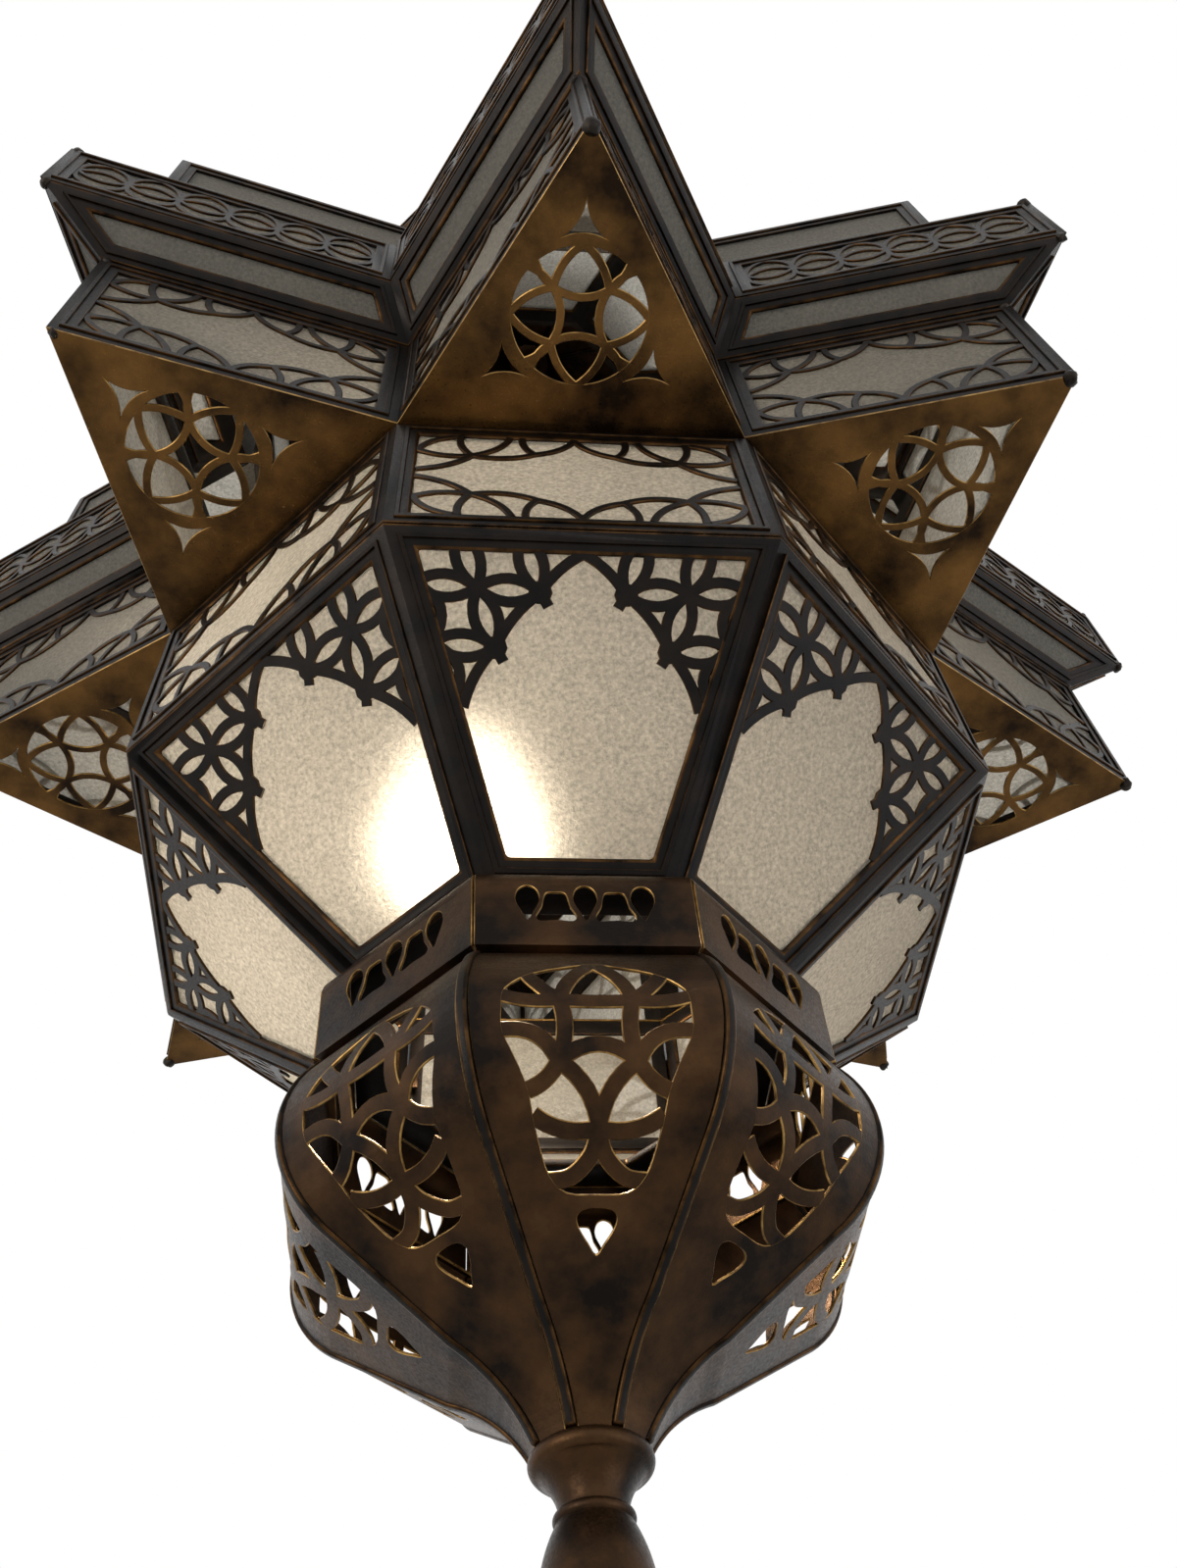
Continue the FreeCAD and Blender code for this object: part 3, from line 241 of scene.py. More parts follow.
def opal_bulb():
    """Opal glass lit from inside by a warm filament."""
    material, tree, place = new_material("lit_opal_glass")
    veil = add(tree, "ShaderNodeTexNoise", {"Vector": place, "Scale": per_mm(25), "Detail": 1.0})
    warm = add(tree, "ShaderNodeMix", {"Factor": veil.outputs["Fac"], "A": paint("#ffeacf"),
                                       "B": paint("#fff2e0")}, data_type="RGBA")
    surface = add(tree, "ShaderNodeBsdfPrincipled", {
        "Base Color": paint("#f2ead9"), "Roughness": 0.3, "IOR": 1.5,
        "Emission Color": warm.outputs["Result"], "Emission Strength": 92.0})
    add(tree, "ShaderNodeOutputMaterial", {"Surface": surface.outputs["BSDF"]})
    return material


def moulded_plastic():
    """Black phenolic lamp holder, pressed in a mould: deep, faintly speckled, softly glossy.

    Its flecks are drawn near 1 mm, coarser than the real ones, so that they show.
    """
    material, tree, place = new_material("moulded_phenolic")
    speck = add(tree, "ShaderNodeTexNoise", {"Vector": place, "Scale": per_mm(0.9), "Detail": 2.0})
    tone = add(tree, "ShaderNodeMix", {"Factor": speck.outputs["Fac"], "A": paint("#131211"),
                                       "B": paint("#2a2725")}, data_type="RGBA")
    surface = add(tree, "ShaderNodeBsdfPrincipled", {
        "Base Color": tone.outputs["Result"], "Roughness": 0.32, "IOR": 1.55})
    add(tree, "ShaderNodeOutputMaterial", {"Surface": surface.outputs["BSDF"]})
    return material


glass_front = frosted_glass()
glass_back = clear_face()
lit_opal = opal_bulb()
phenolic = moulded_plastic()


# Panels, in the same frames as the source has

def at(azimuth, radius, height):
    """A point from its azimuth in degrees, its distance from the axis and its height."""
    angle = math.radians(azimuth)
    return Vector((radius * math.cos(angle), radius * math.sin(angle), height))


def octagon_wall(face):
    """The azimuths and corner ratios of one wall of the eight-sided body."""
    azimuth = FRONT + 2 * HALF_FACE * face
    return (azimuth - HALF_FACE, 1 / FACE_COS), (azimuth + HALF_FACE, 1 / FACE_COS)


def star_distance():
    """How far the star's walls are from the axis."""
    valley = Vector((RING_RADIUS * FACE_COS, RING_RADIUS * FACE_SIN))
    tip = Vector((TIP_RADIUS, 0))
    return (tip.x * valley.y - tip.y * valley.x) / (valley - tip).length


STAR_DISTANCE = star_distance()
STAR_PROFILE = [
    (STAR_DISTANCE, WALL_FOOT),
    (STAR_DISTANCE, WALL_TOP),
    (STAR_DISTANCE * FLARE_RATIO, FLARE_TOP),
    (STAR_DISTANCE * FLARE_RATIO, EDGE_TOP),
]
BODY_PROFILE = [(MOUTH_RADIUS * FACE_COS, -CONE_HEIGHT), (PLATE_DISTANCE, 0), (PLATE_DISTANCE, BELT_HEIGHT)]


def star_wall(face, second):
    """One of the two walls of the star point over a face."""
    azimuth = FRONT + 2 * HALF_FACE * face
    valley, tip = RING_RADIUS / STAR_DISTANCE, TIP_RADIUS / STAR_DISTANCE
    if second:
        return (azimuth, tip), (azimuth + HALF_FACE, valley)
    return (azimuth - HALF_FACE, valley), (azimuth, tip)


class Panel:
    """A flat panel's own frame: across its foot, up its face and out of it."""

    def __init__(self, wall, low, high):
        (first, first_ratio), (last, last_ratio) = wall
        corners = [
            at(first, low[0] * first_ratio, low[1]),
            at(last, low[0] * last_ratio, low[1]),
            at(last, high[0] * last_ratio, high[1]),
            at(first, high[0] * first_ratio, high[1]),
        ]
        self.origin = (corners[0] + corners[1]) / 2
        self.across = (corners[1] - corners[0]).normalized()
        self.out = self.across.cross(corners[3] - corners[0]).normalized()
        self.up = self.out.cross(self.across)
        self.flat = [((c - self.origin).dot(self.across), (c - self.origin).dot(self.up)) for c in corners]
        self.height = self.flat[2][1]

    def placed(self, rise):
        """The matrix that takes flat drawings to this panel, this far out of its face."""
        turn = Matrix((self.across, self.up, self.out)).transposed().to_4x4()
        return Matrix.Translation(self.origin + self.out * rise) @ turn


# Flat drawing of bands and outlines

def bow(start, end, bulge, steps=8):
    """An arc from start to end that rises to its left by a share of its length."""
    across = (end[0] - start[0], end[1] - start[1])
    points = []
    for step in range(steps + 1):
        share = step / steps
        rise = 4 * bulge * share * (1 - share)
        points.append((start[0] + across[0] * share - across[1] * rise,
                       start[1] + across[1] * share + across[0] * rise))
    return points


def lens(start, end, bulge):
    """Two arcs that meet at both ends."""
    return [bow(start, end, bulge), bow(start, end, -bulge)]


def circle(centre, radius, steps=24, first=0.0, sweep=360.0):
    """The points of a circle, or of an arc of it with both its ends."""
    points = []
    closed = sweep == 360.0
    for step in range(steps if closed else steps + 1):
        angle = math.radians(first + sweep * step / steps)
        points.append((centre[0] + radius * math.cos(angle), centre[1] + radius * math.sin(angle)))
    return points


def mirrored(lines, axis=0, about=0.0):
    """The lines flipped left to right, or up and down on axis 1."""
    flipped = []
    for line in lines:
        flipped.append([(2 * about - x, y) if axis == 0 else (x, 2 * about - y) for x, y in line])
    return flipped


def concave(corners, bulge):
    """A closed outline through the corners whose sides bow inwards."""
    outline = []
    for index, corner in enumerate(corners):
        outline += bow(corner, corners[(index + 1) % len(corners)], bulge)[:-1]
    return outline


def curve_spot(before, start, end, after, t):
    """A place on the smooth curve through four points, a share of the way between the middle two."""
    return 0.5 * (2 * start + (end - before) * t + (2 * before - 5 * start + 4 * end - after) * t * t
                  + (3 * start - before - 3 * end + after) * t ** 3)


def smooth_outline(points, steps=4):
    """A closed outline drawn smoothly through its points."""
    outline = []
    count = len(points)
    for index in range(count):
        nearby = [Vector(points[(index + step) % count]) for step in (-1, 0, 1, 2)]
        outline += [curve_spot(*nearby, step / steps).to_tuple() for step in range(steps)]
    return outline


# Making of meshes

def finished(name, mesh, body, stands_for, smooth=35.0):
    """A mesh in millimetres becomes a piece in the lantern's frame."""
    mesh.transform(TO_FRAME)
    finished_in_frame(name, mesh, body, stands_for, smooth)


def finished_in_frame(name, mesh, body, stands_for, smooth=35.0):
    """A mesh already in the frame, in metres, becomes a piece that rides on a body."""
    mesh.name = name
    mesh.shade_smooth()
    mesh.set_sharp_from_angle(angle=math.radians(smooth))
    piece = bpy.data.objects.new(name, mesh)
    bpy.context.scene.collection.objects.link(piece)
    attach(piece, body)
    if stands_for:
        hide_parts(*stands_for)


def evaluated(source):
    """The plain mesh that an object gives with its modifiers, after which the object is removed."""
    bpy.context.view_layer.update()
    mesh = bpy.data.meshes.new_from_object(source.evaluated_get(bpy.context.evaluated_depsgraph_get()))
    source.modifiers.clear()
    bpy.data.objects.remove(source)
    return mesh


def drafted(data):
    """A working object for mesh or curve data."""
    source = bpy.data.objects.new("draft", data)
    bpy.context.scene.collection.objects.link(source)
    return source


def line_mesh(lines, closed=()):
    """Flat lines as edges; those whose number is in closed join up."""
    vertices, edges = [], []
    for number, line in enumerate(lines):
        first = len(vertices)
        vertices += [(x, y, 0.0) for x, y in line]
        edges += [(first + step, first + step + 1) for step in range(len(line) - 1)]
        if number in closed:
            edges.append((first + len(line) - 1, first))
    mesh = bpy.data.meshes.new("lines")
    mesh.from_pydata(vertices, edges, [])
    return mesh


def new_tree(name, sockets):
    """A Geometry Nodes tree with named inputs."""
    tree = bpy.data.node_groups.new(name, "GeometryNodeTree")
    tree.interface.new_socket(name="Geometry", in_out="OUTPUT", socket_type="NodeSocketGeometry")
    tree.interface.new_socket(name="Geometry", in_out="INPUT", socket_type="NodeSocketGeometry")
    for socket_name, kind, value in sockets:
        socket = tree.interface.new_socket(name=socket_name, in_out="INPUT", socket_type=f"NodeSocket{kind}")
        if value is not None:
            socket.default_value = value
    return tree, add(tree, "NodeGroupInput")


def worked(data, tree, **values):
    """The mesh that a tree makes of data. Underscores in the names of inputs stand for spaces."""
    source = drafted(data)
    modifier = source.modifiers.new("tree", "NODES")
    modifier.node_group = tree
    identifiers = {item.name: item.identifier for item in tree.interface.items_tree if item.in_out == "INPUT"}
    for name, value in values.items():
        modifier[identifiers[name.replace("_", " ")]] = value
    return evaluated(source)


def band_tree():
    """Flat lines become sawn bands with filed corners, joined where they cross."""
    tree, given = new_tree("sawn_bands", [
        ("Width", "Float", 3.0), ("Thickness", "Float", 1.2), ("Filed Corner", "Float", 0.3),
        ("Metal", "Material", None), ("Cut Edge", "Material", None)])
    curve = add(tree, "GeometryNodeMeshToCurve", {"Mesh": given.outputs["Geometry"]})
    upright = add(tree, "GeometryNodeSetCurveNormal", {"Curve": curve.outputs["Curve"]}, mode="Z_UP")
    bar = add(tree, "GeometryNodeCurvePrimitiveQuadrilateral", {
        "Width": given.outputs["Width"], "Height": given.outputs["Thickness"]})
    filed = add(tree, "GeometryNodeFilletCurve", {"Curve": bar.outputs["Curve"],
                                                  "Radius": given.outputs["Filed Corner"]})
    swept = add(tree, "GeometryNodeCurveToMesh", {"Curve": upright.outputs["Curve"],
                                                  "Profile Curve": filed.outputs["Curve"], "Fill Caps": True})
    merged = add(tree, "GeometryNodeMeshBoolean", {"Self Intersection": True, "Mesh 2": swept.outputs["Mesh"]},
                 operation="UNION", solver="EXACT")
    normal = add(tree, "GeometryNodeInputNormal")
    parts = add(tree, "ShaderNodeSeparateXYZ", {"Vector": normal.outputs["Normal"]})
    size = add(tree, "ShaderNodeMath", {0: parts.outputs["Z"]}, operation="ABSOLUTE")
    side = add(tree, "FunctionNodeCompare", {"A": size.outputs["Value"], "B": 0.9}, operation="LESS_THAN")
    marked = add(tree, "GeometryNodeStoreNamedAttribute", {
        "Geometry": merged.outputs["Mesh"], "Name": "cut_edge", "Value": side.outputs["Result"]},
        data_type="BOOLEAN", domain="FACE")
    real = add(tree, "GeometryNodeRealizeInstances", {"Geometry": marked.outputs["Geometry"]})
    plain = add(tree, "GeometryNodeSetMaterial", {"Geometry": real.outputs["Geometry"],
                                                  "Material": given.outputs["Metal"]})
    both = add(tree, "GeometryNodeSetMaterial", {"Geometry": plain.outputs["Geometry"],
                                                 "Selection": side.outputs["Result"],
                                                 "Material": given.outputs["Cut Edge"]})
    add(tree, "NodeGroupOutput", {"Geometry": both.outputs["Geometry"]})
    return tree


def ring_tree():
    """One piece repeated about the lantern's axis."""
    tree, given = new_tree("round_the_axis", [
        ("Count", "Int", FACES), ("First Turn", "Float", 0.0), ("Turn Step", "Float", math.pi / 4),
        ("Metal", "Material", None), ("Cut Edge", "Material", None)])
    points = add(tree, "GeometryNodePoints", {"Count": given.outputs["Count"]})
    index = add(tree, "GeometryNodeInputIndex")
    turn = add(tree, "ShaderNodeMath", {0: index.outputs["Index"], 1: given.outputs["Turn Step"],
                                        2: given.outputs["First Turn"]}, operation="MULTIPLY_ADD")
    euler = add(tree, "ShaderNodeCombineXYZ", {"Z": turn.outputs["Value"]})
    rotation = add(tree, "FunctionNodeEulerToRotation", {"Euler": euler.outputs["Vector"]})
    copies = add(tree, "GeometryNodeInstanceOnPoints", {
        "Points": points.outputs["Points"], "Instance": given.outputs["Geometry"],
        "Rotation": rotation.outputs["Rotation"]})
    real = add(tree, "GeometryNodeRealizeInstances", {"Geometry": copies.outputs["Instances"]})
    plain = add(tree, "GeometryNodeSetMaterial", {"Geometry": real.outputs["Geometry"],
                                                  "Material": given.outputs["Metal"]})
    edge = add(tree, "GeometryNodeInputNamedAttribute", {"Name": "cut_edge"}, data_type="BOOLEAN")
    both = add(tree, "GeometryNodeSetMaterial", {"Geometry": plain.outputs["Geometry"],
                                                 "Selection": edge.outputs["Attribute"],
                                                 "Material": given.outputs["Cut Edge"]})
    add(tree, "NodeGroupOutput", {"Geometry": both.outputs["Geometry"]})
    return tree


def bead_tree():
    """Uneven drops of solder on points."""
    tree, given = new_tree("solder_drops", [
        ("Radius", "Float", 4.0), ("Unevenness", "Float", 0.35), ("Seed", "Int", 3),
        ("Solder", "Material", None)])
    ball = add(tree, "GeometryNodeMeshIcoSphere", {"Radius": given.outputs["Radius"], "Subdivisions": 3})
    lump = add(tree, "ShaderNodeTexNoise", {"Scale": 0.25, "Detail": 1.0})
    centred = add(tree, "ShaderNodeVectorMath", {0: lump.outputs["Color"], 1: (0.5, 0.5, 0.5)},
                  operation="SUBTRACT")
    pushed = add(tree, "ShaderNodeVectorMath", {0: centred.outputs["Vector"], "Scale": 3.0},
                 operation="SCALE")
    least = add(tree, "ShaderNodeMath", {0: 1.0, 1: given.outputs["Unevenness"]}, operation="SUBTRACT")
    scale = add(tree, "FunctionNodeRandomValue", {"Min": least.outputs["Value"], "Max": 1.0,
                                                  "Seed": given.outputs["Seed"]}, data_type="FLOAT")
    drops = add(tree, "GeometryNodeInstanceOnPoints", {
        "Points": given.outputs["Geometry"], "Instance": ball.outputs["Mesh"],
        "Scale": scale.outputs["Value"]})
    real = add(tree, "GeometryNodeRealizeInstances", {"Geometry": drops.outputs["Instances"]})
    uneven = add(tree, "GeometryNodeSetPosition", {"Geometry": real.outputs["Geometry"],
                                                   "Offset": pushed.outputs["Vector"]})
    plain = add(tree, "GeometryNodeSetMaterial", {"Geometry": uneven.outputs["Geometry"],
                                                  "Material": given.outputs["Solder"]})
    add(tree, "NodeGroupOutput", {"Geometry": plain.outputs["Geometry"]})
    return tree


BANDS = band_tree()
RING = ring_tree()
BEADS = bead_tree()


def bands(lines, width, thickness, closed=(), metal=None, edge=None):
    """Flat bands, centred on height 0."""
    return worked(line_mesh(lines, closed), BANDS, Width=width, Thickness=thickness, Filed_Corner=0.3,
                  Metal=metal or brass_patina_and_painted_shade, Cut_Edge=edge or filed_edge_wear_and_highlight)


def round_axis(mesh, count=FACES, first=0, metal=None, edge=None):
    """Copies of a piece of face 0, from face number first on."""
    return worked(mesh, RING, Count=count, First_Turn=math.radians(2 * HALF_FACE * first),
                  Metal=metal or brass_patina_and_painted_shade, Cut_Edge=edge or filed_edge_wear_and_highlight)


def pierced_sheet(outline, holes, thickness, filed=0.2):
    """Flat sheet between heights 0 and thickness, with holes sawn out and their edges filed."""
    curve = bpy.data.curves.new("outline", "CURVE")
    curve.dimensions = "2D"
    curve.fill_mode = "BOTH"
    curve.extrude = thickness / 2 - filed
    curve.bevel_depth = filed
    curve.bevel_resolution = 0
    curve.offset = -filed
    for loop in [outline] + holes:
        spline = curve.splines.new("POLY")
        spline.points.add(len(loop) - 1)
        for point, (x, y) in zip(spline.points, loop):
            point.co = (x, y, 0.0, 1.0)
        spline.use_cyclic_u = True
    mesh = evaluated(drafted(curve))
    edit = bmesh.new()
    edit.from_mesh(mesh)
    bmesh.ops.remove_doubles(edit, verts=edit.verts, dist=0.001)
    bmesh.ops.translate(edit, verts=edit.verts, vec=(0, 0, thickness / 2))
    edit.to_mesh(mesh)
    edit.free()
    mark = mesh.attributes.new("cut_edge", "BOOLEAN", "FACE")
    mark.data.foreach_set("value", [abs(face.normal.z) < 0.9 for face in mesh.polygons])
    return mesh


def joined(meshes):
    """Several meshes made one."""
    edit = bmesh.new()
    for mesh in meshes:
        edit.from_mesh(mesh)
    whole = bpy.data.meshes.new("joined")
    edit.to_mesh(whole)
    edit.free()
    return whole


def paint_lamp_light_inside(mesh):
    """Gives the faces that look at the axis, or up into the star, the lighter copper of painted lamp light."""
    mesh.materials.append(brass_painted_lamp_light)
    last = len(mesh.materials) - 1
    for face in mesh.polygons:
        radial = Vector((face.center.x, face.center.y, 0)).normalized()
        if face.material_index == 0 and (face.normal.dot(radial) < -0.35 or face.normal.z > 0.95):
            face.material_index = last
    return mesh


class Line:
    """A line in the plane through the axis, (distance, height), measured along its length.

    A point of four numbers is reached by an arc through its second pair.
    """

    def __init__(self, points, steps=14):
        self.points = [Vector(points[0][:2])]
        for point in points[1:]:
            start = self.points[-1]
            if len(point) == 2:
                self.points.append(Vector(point))
                continue
            end, middle = Vector(point[:2]), Vector(point[2:])
            centre = self.centre(start, middle, end)
            first = (start - centre).angle_signed(middle - centre)
            second = (middle - centre).angle_signed(end - centre)
            for step in range(1, steps + 1):
                turn = -(first + second) * step / steps
                self.points.append(centre + Matrix.Rotation(turn, 2) @ (start - centre))
        self.lengths = [0.0]
        for before, after in zip(self.points, self.points[1:]):
            self.lengths.append(self.lengths[-1] + (after - before).length)
        self.length = self.lengths[-1]

    @staticmethod
    def centre(a, b, c):
        """The centre of the circle through three points."""
        spread = 2 * (a.x * (b.y - c.y) + b.x * (c.y - a.y) + c.x * (a.y - b.y))
        a2, b2, c2 = a.length_squared, b.length_squared, c.length_squared
        x = (a2 * (b.y - c.y) + b2 * (c.y - a.y) + c2 * (a.y - b.y)) / spread
        y = (a2 * (c.x - b.x) + b2 * (a.x - c.x) + c2 * (b.x - a.x)) / spread
        return Vector((x, y))

    def spot(self, along):
        """Place and direction at a length along the line."""
        index = 0
        while index < len(self.lengths) - 2 and self.lengths[index + 1] < along:
            index += 1
        start, end = self.points[index], self.points[index + 1]
        share = (along - self.lengths[index]) / (end - start).length
        return start.lerp(end, share), (end - start).normalized()


def bent(mesh, line, outward):
    """A flat drawing (across, along the line, out) laid on face 0 of an eight-sided bent surface."""
    edit = bmesh.new()
    edit.from_mesh(mesh)
    for along in line.lengths[1:-1]:
        bmesh.ops.bisect_plane(edit, geom=edit.verts[:] + edit.edges[:] + edit.faces[:],
                               plane_co=(0, along, 0), plane_no=(0, 1, 0))
    for vertex in edit.verts:
        across, along, rise = vertex.co
        spot, direction = line.spot(min(max(along, 0.0), line.length))
        normal = Vector((direction.y, -direction.x)) * outward
        radial = spot + normal * rise
        vertex.co = (across, -radial.x, radial.y)
    bmesh.ops.recalc_face_normals(edit, faces=edit.faces)
    edit.to_mesh(mesh)
    edit.free()
    return mesh


# Lace and tracery

def cone_lace_lines(panel):
    """Lens-shaped links in the wide corners of a sloping pane, with two knobs on the free side."""
    top = panel.height
    link = 0.19
    first, across, down = (-34.4, -20.5), (20.5, -0.9), (6.3, -19.4)

    def node(i, j):
        return (first[0] + across[0] * (i - 1) + down[0] * (j - 1),
                top + first[1] + across[1] * (i - 1) + down[1] * (j - 1))

    lines = []
    for start, end in (((0, 1), (1, 1)), ((1, 1), (2, 1)), ((0, 2), (1, 2)),
                       ((1, 0), (1, 1)), ((1, 1), (1, 2)), ((2, 0), (2, 1))):
        lines += lens(node(*start), node(*end), link)
    for start, end in (((0, 1), (0, 2)), ((0, 2), (0, 3))):
        lines.append(bow(node(*start), node(*end), link * 1.6))
    cusp = (0.0, top - 8.2)
    foot = (-38.0, top - 59.5)
    lines += [bow(cusp, node(2, 1), -0.07), bow(node(2, 1), node(1, 2), -0.07), bow(node(1, 2), foot, -0.07)]
    knobs = []
    for i, j in ((2, 1), (1, 2)):
        centre = node(i, j)
        knobs.append(circle(centre, 2.1, 10))
        lines.append([centre, (centre[0] + 2.7, centre[1] - 4.6)])
    lines += mirrored(lines)
    knobs += mirrored(knobs)
    return lines, knobs


def bracket_lines(left, right, low, high):
    """Arched links in the four corners of an upright window, which leave a pointed oval of bare glass.

    They are drawn for a half width of 54 and stretched sideways to the window's.
    """
    scale = (right - left) / 2 / 54.0

    def spot(x, y):
        return (left + x * scale, low + y)

    corner = [
        bow(spot(0, 13.5), spot(13, 0.5), -0.14),
        bow(spot(0, 13.5), spot(18.5, 17), 0.12),
        bow(spot(0, 30.5), spot(18.5, 17), 0.10),
        bow(spot(18.5, 17), spot(14.6, 0), -0.10),
        bow(spot(18.5, 17), spot(31.6, 0), 0.12),
        bow(spot(18.5, 17), spot(40, 14), 0.13),
        bow(spot(40, 14), spot(36, 0), -0.10),
        bow(spot(40, 14), spot(54, 0), 0.12),
    ]
    side = mirrored(corner, 0, (left + right) / 2)
    lower = corner + side
    return lower + mirrored(lower, 1, (low + high) / 2)


def edge_row(left, right, low, high):
    """A row of ovals with small arches over and under them, along the star's edge strip."""
    count = 6
    step = (right - left) / count
    level = (low + high) / 2
    lines = []
    for cell in range(count):
        start, end = (left + step * cell, level), (left + step * (cell + 1), level)
        lines += lens(start, end, 0.30)
        centre = (left + step * (cell + 0.5), level)
        for edge, side in ((high, 1), (low, -1)):
            lines.append(bow(start, (centre[0], edge), side * 0.18))
            lines.append(bow(end, (centre[0], edge), side * -0.18))
    return lines


def rosette_lines(centre, radius):
    """Four arcs cross on the diagonals round a cusped square; pairs of leaves run from the crossings."""
    arc_reach, crossing_reach, rim_reach = 0.72 * radius, 0.571 * radius, 1.03 * radius
    arc_half = 71

    def spoke(degrees, reach):
        angle = math.radians(degrees)
        return (centre[0] + reach * math.cos(angle), centre[1] + reach * math.sin(angle))

    lines = []
    for quarter in range(4):
        angle = 90.0 * quarter
        lines.append(circle(spoke(angle, radius), arc_reach, 28, angle + 180 - arc_half, 2 * arc_half))
        crossing = spoke(angle + 45, crossing_reach)
        for side, bulge in ((0, 0.10), (90, -0.10)):
            lines.append(bow(crossing, spoke(angle + side, rim_reach), bulge))
    return lines


def gore_lines():
    """Curved arms of a bowl gore, (across, along the bowl from its rim)."""
    high, low, foot = (10, 31), (10.5, 49), (0, 66)
    half = [
        bow(low, foot, 0.12),
        bow(low, (25.5, 40.5), -0.19),
        bow(low, (18.6, 56.5), 0.10),
        bow(low, high, -0.085),
        bow(high, (25.5, 29.5), 0.06),
        bow(high, (18.5, 21), 0.05),
        bow(high, (0, 15), 0.08),
        bow(foot, (17.2, 62.5), 0.12),
        smooth_line([foot, (1.7, 72.6), (6.9, 78.4), (12.8, 79.6)]),
    ]
    whole = half + mirrored(half)
    whole += [bow((-10.5, 49), (10.5, 49), -0.22), bow((-10, 31), (10, 31), 0.02)]
    return whole


def smooth_line(points, steps=5):
    """An open line drawn smoothly through its points."""
    padded = [points[0]] + list(points) + [points[-1]]
    line = []
    for index in range(1, len(padded) - 2):
        nearby = [Vector(padded[index + step]) for step in (-1, 0, 1, 2)]
        line += [curve_spot(*nearby, step / steps).to_tuple() for step in range(steps)]
    return line + [tuple(points[-1])]


# Right halves of openings, (across, along the sheet from its rim)
GORE_FIELD = [(0, 15), (10, 17.5), (18, 21), (24.5, 27), (25.5, 34), (25.2, 41), (22, 48), (18.5, 56), (17, 63),
              (15, 71), (12.5, 78), (8, 82.5), (0, 83)]
GORE_DROP = [(0, 86.6), (3.6, 87.0), (5.2, 89.0), (4.3, 92.2), (2.0, 95.8), (0, 98.6)]
GALLERY_DROP = [(0, 13.4), (2.4, 14.8), (3.5, 18.0), (3.3, 21.0), (1.7, 25.0), (0, 28.7)]
GALLERY_BELL = [(0, 16.4), (2.6, 16.7), (3.5, 19.0), (4.2, 23.0), (5.9, 27.0), (4.8, 29.0), (0, 28.6)]
# Where the openings of one face stand, across it
GALLERY_HOLES = [(-17.4, GALLERY_DROP), (0, GALLERY_DROP), (17.4, GALLERY_DROP),
                 (-8.9, GALLERY_BELL), (8.9, GALLERY_BELL)]


def whole_outline(half):
    """A mirror-symmetric closed outline from its right half, whose ends lie on the middle."""
    return smooth_outline(half + [(-x, y) for x, y in reversed(half[1:-1])], 3)


def gallery_line(top, direction):
    """The gallery's line on face 0, ending in its inward lip."""
    corners = [(79, 0.5), (87, 9, 84.8, 2.6), (86.5, 35.6), (81, 36)]
    return placed_line(corners, top, direction)


def placed_line(corners, top, direction, ratio=1.0):
    """The line at the middle of a face from (corner radius, depth) points, run down (-1) or up (1)."""
    placed = []
    for point in corners:
        placed.append(tuple(value * FACE_COS if index % 2 == 0 else top + direction * ratio * value
                            for index, value in enumerate(point)))
    return Line(placed)


BOWL_CORNERS = [(83, 0), (78, 57.78, 94, 24.61), (40, 82.93), (15, 107, 24.5, 93.63)]


def gore_outline(line, gap):
    """The flat outline of a gore: as wide as its face is at each height, short of the seams."""
    right = []
    for along in line.lengths:
        spot = line.spot(along)[0]
        right.append((spot.x * FACE_TAN - gap, along))
    return right + [(-x, y) for x, y in reversed(right)]


def star_plate_mesh():
    """A level star plate of face 0 seen from below, (across, outwards from the belt)."""
    radius, centre = ROSETTE_RADIUS, (0.0, float(ROSETTE_CENTRE))
    base = RING_RADIUS * FACE_SIN
    lap = CAME_DEPTH
    outline = [(-base + lap * FACE_TAN, -lap), (base - lap * FACE_TAN, -lap), (base, 0.0),
               (0.0, TIP_RADIUS - PLATE_DISTANCE), (-base, 0.0)]
    triangles = [
        [(-7.4, 69.2), (7.4, 69.2), (0, 81.5)],
        [(-33.8, 19.2), (-18.5, 19.8), (-27.5, 31.6)],
        [(18.5, 19.8), (33.8, 19.2), (27.5, 31.6)],
    ]
    holes = [circle(centre, radius, 72)] + [concave(corners, 0.11) for corners in triangles]
    plate = pierced_sheet(outline, holes, SHEET)
    arms = bands(rosette_lines(centre, radius), ROSETTE_BAND, TRACERY)
    arms.transform(Matrix.Translation((0, 0, SHEET * 0.5)))
    whole = joined([plate, arms])
    # Across stays across, outwards becomes -Y on face 0, and the drawn face looks down.
    whole.transform(Matrix(((-1, 0, 0, 0), (0, -1, 0, -PLATE_DISTANCE),
                            (0, 0, 1, WALL_FOOT - SHEET), (0, 0, 0, 1))))
    return whole


def node_copy(nodes):
    """CAD nodes as one editable mesh, their loose triangles merged into flat faces."""
    edit = bmesh.new()
    for node in nodes:
        edit.from_mesh(frame["nodes"][node].data)
    bmesh.ops.remove_doubles(edit, verts=edit.verts, dist=1e-6)
    bmesh.ops.dissolve_limit(edit, angle_limit=math.radians(1), verts=edit.verts, edges=edit.edges)
    return edit


